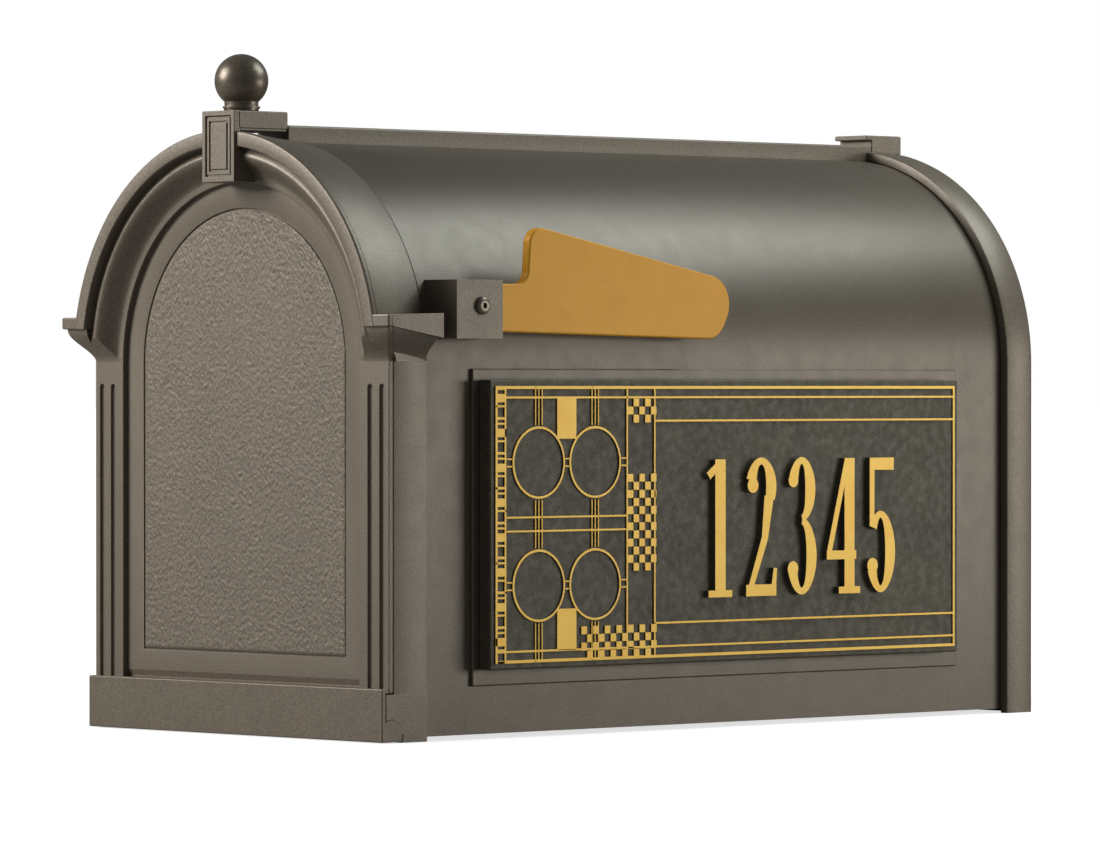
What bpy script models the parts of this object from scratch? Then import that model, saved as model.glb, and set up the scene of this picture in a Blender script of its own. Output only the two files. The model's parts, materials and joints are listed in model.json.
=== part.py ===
"""Post-mounted curbside mailbox: an arched cast-metal box with a drop-down front door,
a ball finial as the pull, a signal flag and a side number plaque.

Sizes below are measured in millimetres from three datums of the box: its middle plane
(x = 0, +x on the flag side), the seam behind the front pilasters (y = 0, front at -y) and
the underside of the plinth (z = 0). The assembly empty then shifts everything so that the
world's origin is the middle of the mounting face under the floor pan.
"""

import math

import bmesh
import bpy
from mathutils import Matrix, Vector

MM = 0.001
GAP = 0.4
ARCH_SEGMENTS = 32
ROUND_SEGMENTS = 12

# Mounting face, under the floor pan.
MOUNT_Y = 250.0
MOUNT_Z = 15.0

# Arched outline shared by the castings.
ARCH_CENTRE_Z = 201.5
SHELL_RADIUS = 119.5
SHELL_WALL = 3.0
SHELL_BOTTOM = 2.5
SHELL_FRONT = 26.0
SHELL_REAR = 492.6

# Front relief, carried by the door.
HALF_WIDTH = 120.65
PLINTH_TOP = 28.7
PLINTH_FRONT = -7.0
PILASTER_FRONT = -2.0
PILASTER_TOP = 202.0
FLUTE_CENTRES = (105.7, 115.0)
FLUTE_WIDTH = 3.5
FLUTE_DEPTH = 1.6
FLUTE_TOP = 187.7
PANEL_HALF_WIDTH = 97.0
PANEL_FRONT = 1.0
DOOR_WALL = 3.0
BAND_OUTER = 124.7
BAND_INNER = 116.5
BAND_FRONT = -15.2
COVE_INNER = 100.0
COVE_CREST = 9.5
COVE_CREST_AT = 0.7
COVE_DIP = 2.2
COVE_STEPS = 10
PILASTER_INNER = 101.5
PLINTH_LOW = 0.4
DOOR_BACKING_LOW = PLINTH_TOP - 2.7

# Cornice: how far its moulding stands out, level by level, on the front and on the sides.
CORNICE_PROFILE = (
    (201.4, 0.0),
    (204.6, 1.6),
    (208.0, 4.6),
    (213.5, 8.8),
    (219.0, 11.5),
    (220.0, 13.75),
)
CORNICE_TOP = 226.2
CORNICE_REAR = 24.8
CORNICE_REAR_LOW = 214.0
CORNICE_REAR_HIGH = 227.0
FRONT_SHARE = 0.94

# Keystone, its top block and the finial.
KEY_HALF_WIDTH = 13.2
KEY_BOTTOM = 298.2
KEY_FRONT = -16.8
KEY_FOOT_TOP = 316.0
KEY_REAR = -1.0
BLOCK_BOTTOM = 327.0
BLOCK_TOP = 336.7
BLOCK_REAR = 22.0
BALL_RADIUS = 14.6
BALL_CENTRE_Z = 353.2
STUD_RADIUS = 2.5

# Hinge: its axis runs along x.
HINGE_Y = 0.0
HINGE_Z = 4.2
KNUCKLE_RADIUS = 8.0
KNUCKLE_INNER = 109.8
EAR_INNER = 103.0
EAR_RADIUS = 3.7
EAR_REAR = 8.0
PIN_RADIUS = 1.6
PIN_CLEARANCE = 0.3

# Catch: a magnet on a bracket under the arch, and the door's strike plate before it.
CATCH_HALF_WIDTH = 11.0
CATCH_BRACKET_FRONT = 12.7
CATCH_BRACKET_TOP = 313.0
STRIKE_Y = (4.3, 5.8)
STRIKE_Z = (278.0, 302.0)
STRIKE_SCREW_X = 6.0
STRIKE_SCREW_Z = 282.0
STRIKE_HOLE_RADIUS = 1.8

# Fixed front frame.
FRAME_NOSE = -11.5
FRAME_REAR = 25.3
OPENING_HALF_WIDTH = 105.0
SPIGOT_OUTER = 116.2
SPIGOT_INNER = 112.7
SPIGOT_REAR = 45.0

# Rear cap.
CAP_FRONT = 475.0
CAP_REAR = 498.0
CAP_RADIUS = 125.0
CAP_WALL = 5.0

# Ridge strip and the rear crown block.
RIDGE_HALF_WIDTH = 13.0
RIDGE_TOP = 329.6
CROWN_REAR = 504.6
CROWN_TOP = 335.8

# Raised pads on both side walls, and the plaque on the right one.
PAD_FACE = 121.5
PAD_Y = (57.4, 435.6)
PAD_Z = (28.2, 197.7)
PLAQUE_BACK = PAD_FACE + GAP
PLAQUE_FACE = 131.0
PLAQUE_Y = (61.5, 426.5)
PLAQUE_Z = (37.0, 191.7)
DIGIT_Z = (72.3, 149.7)
DIGIT_HEIGHT = DIGIT_Z[1] - DIGIT_Z[0]
DIGIT_FACE = 134.2
DIGIT_WIDTH = 24.0
DIGIT_PITCH = 32.0
DIGIT_START_Y = 220.0

# Flag, its bracket and its pivot.
BRACKET_Y = (31.7, 65.1)
BRACKET_Z = (213.6, 244.9)
BRACKET_FACE = 137.0
BRACKET_PLATE = 2.8
BRACKET_FOOT_X = 124.0
BRACKET_WEB = 3.0
PIVOT_Y = 49.9
PIVOT_Z = 231.1
FLAG_X = (127.9, 133.8)
FLAG_HUB_RADIUS = 13.5
PIVOT_HOLE_RADIUS = 2.9

# Floor pan.
PAN_WALL = 2.5
PAN_REAR = 489.0

BRONZE = (0.105, 0.088, 0.068)
DARK_BRONZE = (0.045, 0.042, 0.032)
GOLD = (0.62, 0.36, 0.06)
STEEL = (0.45, 0.45, 0.46)
MAGNET_GREY = (0.05, 0.05, 0.055)


def clear_scene():
    for old in list(bpy.data.objects):
        bpy.data.objects.remove(old, do_unlink=True)


def material(name, colour, metallic, roughness):
    made = bpy.data.materials.new(name)
    made.use_nodes = True
    shader = made.node_tree.nodes["Principled BSDF"]
    shader.inputs["Base Color"].default_value = (*colour, 1.0)
    shader.inputs["Metallic"].default_value = metallic
    shader.inputs["Roughness"].default_value = roughness
    made.diffuse_color = (*colour, 1.0)
    return made


def link(name, bm, look=None):
    """Turns a bmesh in millimetres into an object in metres."""
    bmesh.ops.recalc_face_normals(bm, faces=bm.faces)
    bmesh.ops.scale(bm, vec=(MM, MM, MM), verts=bm.verts)
    mesh = bpy.data.meshes.new(name)
    bm.to_mesh(mesh)
    bm.free()
    mesh.shade_smooth()
    mesh.set_sharp_from_angle(angle=math.radians(30))
    made = bpy.data.objects.new(name, mesh)
    bpy.context.scene.collection.objects.link(made)
    if look:
        mesh.materials.append(look)
    return made


def loft(sections):
    """A closed solid through a run of closed sections that have the same number of points."""
    bm = bmesh.new()
    rings = [[bm.verts.new(point) for point in section] for section in sections]
    for ring, following in zip(rings, rings[1:]):
        count = len(ring)
        for i in range(count):
            j = (i + 1) % count
            bm.faces.new((ring[i], ring[j], following[j], following[i]))
    bm.faces.new(rings[0][::-1])
    bm.faces.new(rings[-1])
    return bm


def prism(outline, axis, low, high):
    """An outline extruded along x or y. Its points are (y, z) for x, and (x, z) for y."""
    if axis == "x":
        return loft([[(at, a, b) for a, b in outline] for at in (low, high)])
    return loft([[(a, at, b) for a, b in outline] for at in (low, high)])


def box(x, y, z):
    return prism([(y[0], z[0]), (y[1], z[0]), (y[1], z[1]), (y[0], z[1])], "x", *x)


def arch_outline(half_width, bottom):
    """An upright arch: straight legs up to the centre's height, and a half circle on them."""
    points = [(half_width, bottom)]
    for i in range(ARCH_SEGMENTS + 1):
        angle = math.pi * i / ARCH_SEGMENTS
        points.append((half_width * math.cos(angle), ARCH_CENTRE_Z + half_width * math.sin(angle)))
    points.append((-half_width, bottom))
    return points


def arch_prism(half_width, bottom, low, high):
    return prism(arch_outline(half_width, bottom), "y", low, high)


def arch_sweep(profile):
    """A closed (radius, y) profile swept round the upper half circle."""
    sections = []
    for i in range(ARCH_SEGMENTS + 1):
        angle = math.pi * i / ARCH_SEGMENTS
        sections.append(
            [(r * math.cos(angle), y, ARCH_CENTRE_Z + r * math.sin(angle)) for r, y in profile]
        )
    return loft(sections)


def turned(profile, segments=ROUND_SEGMENTS):
    """An (r, z) profile turned about z. It starts and ends on the axis."""
    bm = bmesh.new()
    rings = []
    for r, z in profile[1:-1]:
        turn = [2 * math.pi * i / segments for i in range(segments)]
        rings.append([bm.verts.new((r * math.cos(a), r * math.sin(a), z)) for a in turn])
    for ring, following in zip(rings, rings[1:]):
        for i in range(segments):
            j = (i + 1) % segments
            bm.faces.new((ring[i], ring[j], following[j], following[i]))
    for ring, (_, z) in ((rings[0], profile[0]), (rings[-1], profile[-1])):
        tip = bm.verts.new((0, 0, z))
        for i in range(segments):
            bm.faces.new((tip, ring[i], ring[(i + 1) % segments]))
    return bm


def aimed(bm, start, direction):
    """Moves a solid turned about z so that it starts at a point and runs along a direction."""
    turn = Vector(direction).to_track_quat("Z", "Y").to_matrix().to_4x4()
    bmesh.ops.transform(bm, matrix=Matrix.Translation(start) @ turn, verts=bm.verts)
    return bm


def rod(start, direction, radius, length, segments=ROUND_SEGMENTS):
    return aimed(turned([(0, 0), (radius, 0), (radius, length), (0, length)], segments), start, direction)


def combine(base, operation, helpers):
    """Joins objects to another, or cuts them from it, keeps the result as its mesh and removes them."""
    for helper in helpers:
        change = base.modifiers.new(operation.title(), "BOOLEAN")
        change.operation = operation
        change.object = helper
    graph = bpy.context.evaluated_depsgraph_get()
    mesh = bpy.data.meshes.new_from_object(base.evaluated_get(graph))
    base.modifiers.clear()
    base.data = mesh
    for helper in helpers:
        bpy.data.objects.remove(helper, do_unlink=True)
    mesh.shade_smooth()
    mesh.set_sharp_from_angle(angle=math.radians(30))


def join(base, *solids):
    combine(base, "UNION", [link(f"{base.name}_helper", solid) for solid in solids])


def cut(base, *solids):
    combine(base, "DIFFERENCE", [link(f"{base.name}_helper", solid) for solid in solids])


def absorb(base, *objects):
    """Joins objects that were already cut to shape on their own."""
    combine(base, "UNION", objects)


def mirrored_x(make):
    """The solids that make(side) gives for the right side (1) and the left side (-1)."""
    return [make(side) for side in (1, -1)]


def span(side, inner, outer):
    return sorted((side * inner, side * outer))


# Front relief -------------------------------------------------------------------------


def smoothstep(t):
    held = min(max(t, 0.0), 1.0)
    return held * held * (3 - 2 * held)


def cove_curve(radial=0.0, back=0.0):
    """The moulding from the panel's rib to the arch band as (radius, y): an S up to a crest, then a dip."""
    points = []
    for i in range(COVE_STEPS + 1):
        t = i / COVE_STEPS
        radius = COVE_INNER + (BAND_INNER - COVE_INNER) * t
        rise = COVE_CREST * smoothstep(t / COVE_CREST_AT)
        rise -= COVE_DIP * smoothstep((t - COVE_CREST_AT) / (1 - COVE_CREST_AT))
        points.append((radius + radial, PILASTER_FRONT - rise + back))
    return points


def cornice_front(stand_out):
    return PILASTER_FRONT - FRONT_SHARE * stand_out


def door_arch():
    """The arch band, its cove and the rib round the panel, as one swept ring."""
    back = PANEL_FRONT + DOOR_WALL
    profile = [(PANEL_HALF_WIDTH, back), (PANEL_HALF_WIDTH, PILASTER_FRONT)]
    profile += cove_curve()
    profile += [(BAND_INNER, BAND_FRONT), (BAND_OUTER, BAND_FRONT), (BAND_OUTER, BAND_FRONT + DOOR_WALL)]
    hollow = cove_curve(DOOR_WALL + 0.1, DOOR_WALL + 0.2)
    profile += [(hollow[-1][0], BAND_FRONT + DOOR_WALL)] + hollow[::-1]
    profile.append((hollow[0][0], back))
    return arch_sweep(profile)


def ogee_air(back=0.0):
    """The space in front of the cornice moulding, below its fascia, moved back by some depth."""
    flat = PILASTER_FRONT + back
    outline = [(-40.0, PILASTER_TOP - 20), (flat, PILASTER_TOP - 20), (flat, PILASTER_TOP + 0.2)]
    outline += [(cornice_front(out) + back, z) for z, out in CORNICE_PROFILE[1:-1]]
    outline += [(cornice_front(CORNICE_PROFILE[-2][1]) + back, CORNICE_PROFILE[-1][0])]
    outline += [(-40.0, CORNICE_PROFILE[-1][0])]
    return prism(outline, "x", -150, 150)


def cove_air():
    """The space in front of the cove and of the panel."""
    profile = [(0.5, -40.0), (0.5, PILASTER_FRONT)] + cove_curve() + [(BAND_INNER, -40.0)]
    return arch_sweep(profile)


def cornice_plate(side):
    """The door's share of one cornice: a plate of even depth that follows the moulding."""
    sections = []
    levels = list(CORNICE_PROFILE) + [(CORNICE_TOP, CORNICE_PROFILE[-1][1])]
    for z, out in levels:
        x_in, x_out = 101.0 * side, (HALF_WIDTH + out) * side
        front = cornice_front(out)
        back = front + DOOR_WALL
        sections.append([(x_in, front, z), (x_out, front, z), (x_out, back, z), (x_in, back, z)])
    return loft(sections)


def cornice_inner_air(side):
    """Clears the fascia's inner end, which stops inside the arch band."""
    return box(span(side, 90.0, 117.0), (-40.0, -5.0), (CORNICE_PROFILE[-1][0], CORNICE_TOP + 5))


def flute(side, centre):
    """One groove of a pilaster, with a round top, open onto the plinth's top."""
    half = FLUTE_WIDTH / 2
    points = [(centre * side + half, PLINTH_TOP - 1.0)]
    for i in range(7):
        angle = math.pi * i / 6
        points.append((centre * side + half * math.cos(angle), FLUTE_TOP + half * math.sin(angle)))
    points.append((centre * side - half, PLINTH_TOP - 1.0))
    return prism(points, "y", PILASTER_FRONT - 5.0, PILASTER_FRONT + FLUTE_DEPTH)


def knuckle_disc(side, radius, inner, outer):
    start = (side * inner, HINGE_Y, HINGE_Z)
    return rod(start, (side, 0, 0), radius, outer - inner, 32)


def strike_hole(side, start_y):
    start = (side * STRIKE_SCREW_X, start_y, STRIKE_SCREW_Z)
    return rod(start, (0, 1, 0), STRIKE_HOLE_RADIUS, 8.0)


def make_door(look):
    back = PANEL_FRONT + DOOR_WALL
    door = link("door_casting", door_arch(), look)
    cut(door, ogee_air())
    plates = [link(f"plate_{side}", cornice_plate(side)) for side in (1, -1)]
    for side, plate in zip((1, -1), plates):
        cut(plate, cove_air(), cornice_inner_air(side))
    absorb(door, *plates)
    low = DOOR_BACKING_LOW
    join(door, arch_prism(PANEL_HALF_WIDTH + 2.0, low, PANEL_FRONT, back))
    pilaster_z = (low + 0.5, PILASTER_TOP)
    join(
        door,
        *mirrored_x(
            lambda s: box(
                span(s, PANEL_HALF_WIDTH, HALF_WIDTH),
                (PILASTER_FRONT, PILASTER_FRONT + DOOR_WALL),
                pilaster_z,
            )
        ),
        *mirrored_x(
            lambda s: box(span(s, PANEL_HALF_WIDTH, PILASTER_INNER), (PILASTER_FRONT, back), pilaster_z)
        ),
    )
    full_width = (-HALF_WIDTH, HALF_WIDTH)
    join(
        door,
        box(full_width, (PLINTH_FRONT, PLINTH_FRONT + DOOR_WALL), (PLINTH_LOW, PLINTH_TOP)),
        box(full_width, (PLINTH_FRONT, PILASTER_FRONT + DOOR_WALL), (low, PLINTH_TOP)),
        box((-PILASTER_INNER, PILASTER_INNER), (PLINTH_FRONT, back), (low, PLINTH_TOP)),
    )
    cut(door, *(flute(side, centre) for side in (1, -1) for centre in FLUTE_CENTRES))
    key_x = (-KEY_HALF_WIDTH, KEY_HALF_WIDTH)
    join(
        door,
        box(key_x, (KEY_FRONT, BAND_FRONT + DOOR_WALL), (KEY_BOTTOM, BLOCK_TOP)),
        box(key_x, (KEY_FRONT, KEY_REAR), (KEY_BOTTOM, KEY_FOOT_TOP)),
        box(key_x, (KEY_FRONT, BLOCK_REAR), (BLOCK_BOTTOM, BLOCK_TOP)),
    )
    discs = mirrored_x(lambda s: knuckle_disc(s, KNUCKLE_RADIUS, KNUCKLE_INNER, HALF_WIDTH))
    knuckles = [link("knuckle", disc) for disc in discs]
    for knuckle in knuckles:
        cut(
            knuckle,
            box((-150, 150), (-20.0, PLINTH_FRONT + 0.01), (-20.0, 30.0)),
            box((-150, 150), (-20.0, 20.0), (-20.0, PLINTH_LOW)),
        )
    absorb(door, *knuckles)
    hole = PIN_RADIUS + PIN_CLEARANCE
    cut(door, *mirrored_x(lambda s: rod((s * 105.0, HINGE_Y, HINGE_Z), (s, 0, 0), hole, 14.4)))
    cut(
        door,
        rod((0, 0, 330.2), (0, 0, 1), STUD_RADIUS + 0.3, 20.0),
        *mirrored_x(lambda s: strike_hole(s, 2.0)),
    )
    return door


def make_finial(look, steel):
    profile = [(0, 337.1), (10.2, 337.1), (10.2, 338.6), (9.2, 339.4), (9.2, 341.4)]
    start = math.asin((341.9 - BALL_CENTRE_Z) / BALL_RADIUS)
    steps = 9
    for i in range(steps):
        angle = start + (math.pi / 2 - start) * i / steps
        profile.append((BALL_RADIUS * math.cos(angle), BALL_CENTRE_Z + BALL_RADIUS * math.sin(angle)))
    profile.append((0, BALL_CENTRE_Z + BALL_RADIUS))
    ball = link("finial_ball", turned(profile, 20), look)
    cut(ball, rod((0, 0, 330.0), (0, 0, 1), STUD_RADIUS + 0.3, 16.0))
    stud = link("finial_stud", rod((0, 0, 330.5), (0, 0, 1), STUD_RADIUS, 15.0), steel)
    return [ball, stud]


def make_strike(steel):
    plate = link("strike_plate", box((-CATCH_HALF_WIDTH, CATCH_HALF_WIDTH), STRIKE_Y, STRIKE_Z), steel)
    cut(plate, *mirrored_x(lambda s: strike_hole(s, 0.0)))
    pieces = [plate]
    for number, side in enumerate((-1, 1), 1):
        head_end = (side * STRIKE_SCREW_X, 7.4, STRIKE_SCREW_Z)
        pieces.append(screw(f"strike_screw_{number}", head_end, (0, -1, 0), 2.6, 1.2, 1.5, 3.8, steel))
    return pieces


# Housing ------------------------------------------------------------------------------


def screw(name, head_end, direction, head_radius, head_height, shank_radius, shank_length, look):
    """A pan-head screw: its head starts at head_end and its shank runs along direction."""
    profile = [
        (0, 0),
        (head_radius, 0),
        (head_radius, head_height),
        (shank_radius, head_height),
        (shank_radius, head_height + shank_length),
        (0, head_height + shank_length),
    ]
    return link(name, aimed(turned(profile, 8), head_end, direction), look)


def frame_cornice(side):
    """The cornice's return on the frame, behind the door's share of it."""
    sections = []
    for z, out in CORNICE_PROFILE[:-1]:
        x_in, x_out = 118.0 * side, (HALF_WIDTH + out) * side
        front = cornice_front(out) + DOOR_WALL + GAP
        rear = CORNICE_REAR
        sections.append([(x_in, front, z), (x_out, front, z), (x_out, rear, z), (x_in, rear, z)])
    return loft(sections)


def frame_fascia(side):
    """The fascia's return: a wedge that deepens towards the rear."""
    out = CORNICE_PROFILE[-1][1]
    front = cornice_front(out) + DOOR_WALL + GAP
    outline = [
        (front, CORNICE_PROFILE[-1][0]),
        (CORNICE_REAR, CORNICE_REAR_LOW),
        (CORNICE_REAR, CORNICE_REAR_HIGH),
        (front, CORNICE_TOP),
    ]
    return prism(outline, "x", *span(side, 116.0, HALF_WIDTH + out))


def frame_leg(side):
    outline = [
        (OPENING_HALF_WIDTH, 1.4),
        (HALF_WIDTH, 1.4),
        (HALF_WIDTH, FRAME_REAR),
        (SPIGOT_OUTER, FRAME_REAR),
        (SPIGOT_OUTER, SPIGOT_REAR),
        (SPIGOT_INNER, SPIGOT_REAR),
        (SPIGOT_INNER, 8.0),
        (OPENING_HALF_WIDTH, 8.0),
    ]
    return loft([[(side * x, y, z) for x, y in outline] for z in (5.0, ARCH_CENTRE_Z + 0.1)])


def frame_ear(side):
    """The hinge ear beside the plinth block, round in front and below so the door's edge clears it."""
    outline = [(EAR_REAR, 25.6), (-EAR_RADIUS, 25.6)]
    for i in range(7):
        angle = math.pi + math.pi / 2 * i / 6
        outline.append((HINGE_Y + EAR_RADIUS * math.cos(angle), HINGE_Z + EAR_RADIUS * math.sin(angle)))
    outline.append((EAR_REAR, HINGE_Z - EAR_RADIUS))
    return prism(outline, "x", *span(side, EAR_INNER, KNUCKLE_INNER - GAP))


def make_front_frame(look):
    nose = [
        (124.0, FRAME_NOSE),
        (120.5, FRAME_REAR),
        (SPIGOT_OUTER, FRAME_REAR),
        (SPIGOT_OUTER, SPIGOT_REAR),
        (SPIGOT_INNER, SPIGOT_REAR),
        (SPIGOT_INNER, 8.0),
        (OPENING_HALF_WIDTH, 8.0),
        (OPENING_HALF_WIDTH, 4.6),
        (120.2, 4.6),
        (120.2, FRAME_NOSE),
    ]
    frame = link("front_frame", arch_sweep(nose), look)
    cut(frame, ogee_air(DOOR_WALL + GAP))
    cornices = link("cornices", frame_cornice(1))
    join(cornices, frame_cornice(-1), frame_fascia(1), frame_fascia(-1))
    cut(cornices, arch_prism(120.3, 150.0, -60.0, 4.6), arch_prism(118.5, 150.0, 0.0, 60.0))
    absorb(frame, cornices)
    plinth_y = (PLINTH_FRONT + DOOR_WALL + 0.3, FRAME_REAR)
    hole = PIN_RADIUS + PIN_CLEARANCE
    join(
        frame,
        *mirrored_x(frame_leg),
        *mirrored_x(lambda s: box(span(s, KNUCKLE_INNER - GAP, HALF_WIDTH), plinth_y, (0.0, 25.6))),
        *mirrored_x(frame_ear),
        box((-106.0, 106.0), (4.6, 8.0), (11.0, 30.0)),
    )
    cut(
        frame,
        *mirrored_x(lambda s: knuckle_disc(s, KNUCKLE_RADIUS + GAP, KNUCKLE_INNER - GAP, 130.0)),
        *mirrored_x(lambda s: rod((s * 100.0, HINGE_Y, HINGE_Z), (s, 0, 0), hole, 12.0)),
    )
    return frame


def side_pad(side):
    return box(span(side, SHELL_RADIUS - 1.0, PAD_FACE), PAD_Y, PAD_Z)


def make_shell(look):
    shell = link("body_shell", arch_prism(SHELL_RADIUS, SHELL_BOTTOM, SHELL_FRONT, SHELL_REAR), look)
    inner = SHELL_RADIUS - SHELL_WALL
    join(shell, *mirrored_x(side_pad))
    cut(shell, arch_prism(inner, SHELL_BOTTOM - 5, SHELL_FRONT - 5, SHELL_REAR + 5))
    return shell


def make_rear_cap(look):
    cap = link("rear_cap", arch_prism(CAP_RADIUS, 0.0, CAP_FRONT, CAP_REAR), look)
    cut(cap, arch_prism(CAP_RADIUS - CAP_WALL, -5.0, CAP_FRONT - 5.0, CAP_REAR - CAP_WALL))
    ridge_x = (-RIDGE_HALF_WIDTH, RIDGE_HALF_WIDTH)
    join(
        cap,
        box(ridge_x, (479.3, CROWN_REAR), (325.0, CROWN_TOP)),
        box(ridge_x, (CAP_FRONT, 480.0), (333.0, CROWN_TOP)),
    )
    return cap


def make_ridge_strip(look):
    strip = link(
        "ridge_strip",
        box((-RIDGE_HALF_WIDTH, RIDGE_HALF_WIDTH), (BLOCK_REAR + GAP, 479.0), (318.0, RIDGE_TOP)),
        look,
    )
    cut(
        strip,
        arch_prism(SHELL_RADIUS + GAP, 150.0, 0.0, 500.0),
        arch_prism(122.0, 150.0, 0.0, FRAME_REAR + GAP),
        arch_prism(CAP_RADIUS + GAP, 150.0, CAP_FRONT - GAP, 500.0),
    )
    return strip


def make_floor_pan(look):
    narrow = KNUCKLE_INNER - 2 * GAP
    wide = SPIGOT_OUTER
    outline = [
        (narrow, 8.4),
        (narrow, SPIGOT_REAR + GAP),
        (wide, SPIGOT_REAR + GAP),
        (wide, PAN_REAR),
    ]
    outline += [(-x, y) for x, y in outline[::-1]]
    top = (MOUNT_Z, MOUNT_Z + PAN_WALL)
    pan = link("floor_pan", loft([[(x, y, z) for x, y in outline] for z in top]), look)
    join(
        pan,
        *mirrored_x(
            lambda s: box(span(s, wide - PAN_WALL, wide), (SPIGOT_REAR + GAP, PAN_REAR), (4.0, top[1] - 0.5))
        ),
    )
    cut(pan, *(rod((x, y, 5.0), (0, 0, 1), 3.5, 20.0) for x in (-60.0, 60.0) for y in (120.0, 380.0)))
    return pan


def fasten_sides(steel, pieces):
    """Screws along x, driven outwards from inside the box, and their holes."""
    screws = []
    rows = (
        ("frame_screw", 112.4, 118.9, ((38.0, 70.0), (38.0, 170.0)), ("front_frame", "body_shell")),
        ("cap_screw", 116.2, 123.6, ((484.0, 60.0), (484.0, 170.0)), ("body_shell", "rear_cap")),
        ("floor_screw", 113.4, 118.9, ((120.0, 9.0), (400.0, 9.0)), ("floor_pan", "body_shell")),
    )
    for name, seat, tip, places, holed in rows:
        number = 0
        for side in (1, -1):
            for y, z in places:
                number += 1
                head_end = (side * (seat - 2.0), y, z)
                length = tip - seat
                way = (side, 0, 0)
                screws.append(screw(f"{name}_{number}", head_end, way, 3.8, 2.0, 1.9, length, steel))
                for node in holed:
                    cut(pieces[node], rod(head_end, way, 2.2, length + 2.3, 10))
    return screws


def fasten_ridge(steel, pieces):
    screws = []
    for number, y in enumerate((110.0, 250.0, 390.0), 1):
        head_end = (0, y, 315.4)
        screws.append(screw(f"ridge_screw_{number}", head_end, (0, 0, 1), 3.8, 2.0, 1.9, 9.4, steel))
        for node in ("body_shell", "ridge_strip"):
            cut(pieces[node], rod(head_end, (0, 0, 1), 2.2, 11.8, 10))
    return screws


def make_hinge_pins(steel):
    pins = []
    for number, side in enumerate((1, -1), 1):
        start = (side * 100.8, HINGE_Y, HINGE_Z)
        pins.append(screw(f"hinge_pin_{number}", start, (side, 0, 0), 2.8, 1.8, PIN_RADIUS, 16.2, steel))
    return pins


def make_catch(steel, magnet_look, pieces):
    width = (-CATCH_HALF_WIDTH, CATCH_HALF_WIDTH)
    front, top, thick = CATCH_BRACKET_FRONT, CATCH_BRACKET_TOP, 2.0
    bracket = link("catch_bracket", box(width, (front, front + thick), (287.0, top)), steel)
    join(bracket, box(width, (front, 38.0), (top - thick, top)))
    magnet = link("catch_magnet", box((-9.5, 9.5), (6.2, 12.3), (288.0, 300.0)), magnet_look)
    head_end = (0, 28.0, 308.6)
    catch_screw = screw("catch_screw", head_end, (0, 0, 1), 3.8, 2.0, 1.9, 8.6, steel)
    for holed in (bracket, pieces["front_frame"], pieces["body_shell"]):
        cut(holed, rod(head_end, (0, 0, 1), 2.2, 10.9, 10))
    return [bracket, magnet, catch_screw]


# Flag ---------------------------------------------------------------------------------


def round_corner(before, corner, after, radius, steps=4):
    """The points of an arc that rounds a corner of an outline."""
    corner = Vector(corner)
    into = (Vector(before) - corner).normalized()
    out = (Vector(after) - corner).normalized()
    half = into.angle(out) / 2
    reach = radius / math.tan(half)
    centre = corner + (into + out).normalized() * (radius / math.sin(half))
    start = corner + into * reach - centre
    turn = start.angle_signed(corner + out * reach - centre)
    points = []
    for i in range(steps + 1):
        spun = start.copy()
        spun.rotate(Matrix.Rotation(-turn * i / steps, 2))
        points.append(tuple(centre + spun))
    return points


def flag_outline():
    """The blade with its stepped neck, and the round hub on the pivot, as (y, z)."""
    corners = (
        (PIVOT_Y, PIVOT_Z - FLAG_HUB_RADIUS, 0.0),
        (231.5, 214.0, 14.0),
        (248.0, 245.0, 16.0),
        (88.5, 275.0, 9.0),
        (86.5, 243.0, 8.0),
        (66.0, 243.0, 0.0),
    )
    outline = []
    for i, (y, z, radius) in enumerate(corners):
        before = corners[i - 1][:2]
        after = corners[(i + 1) % len(corners)][:2]
        outline += round_corner(before, (y, z), after, radius) if radius else [(y, z)]
    for i in range(9):
        angle = math.radians(60 + 210 * i / 9)
        y = PIVOT_Y + FLAG_HUB_RADIUS * math.cos(angle)
        z = PIVOT_Z + FLAG_HUB_RADIUS * math.sin(angle)
        outline.append((y, z))
    return outline


def make_flag(gold):
    flag = link("flag_blade", prism(flag_outline(), "x", *FLAG_X), gold)
    cut(flag, rod((120.0, PIVOT_Y, PIVOT_Z), (1, 0, 0), PIVOT_HOLE_RADIUS, 20.0))
    return flag


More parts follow.
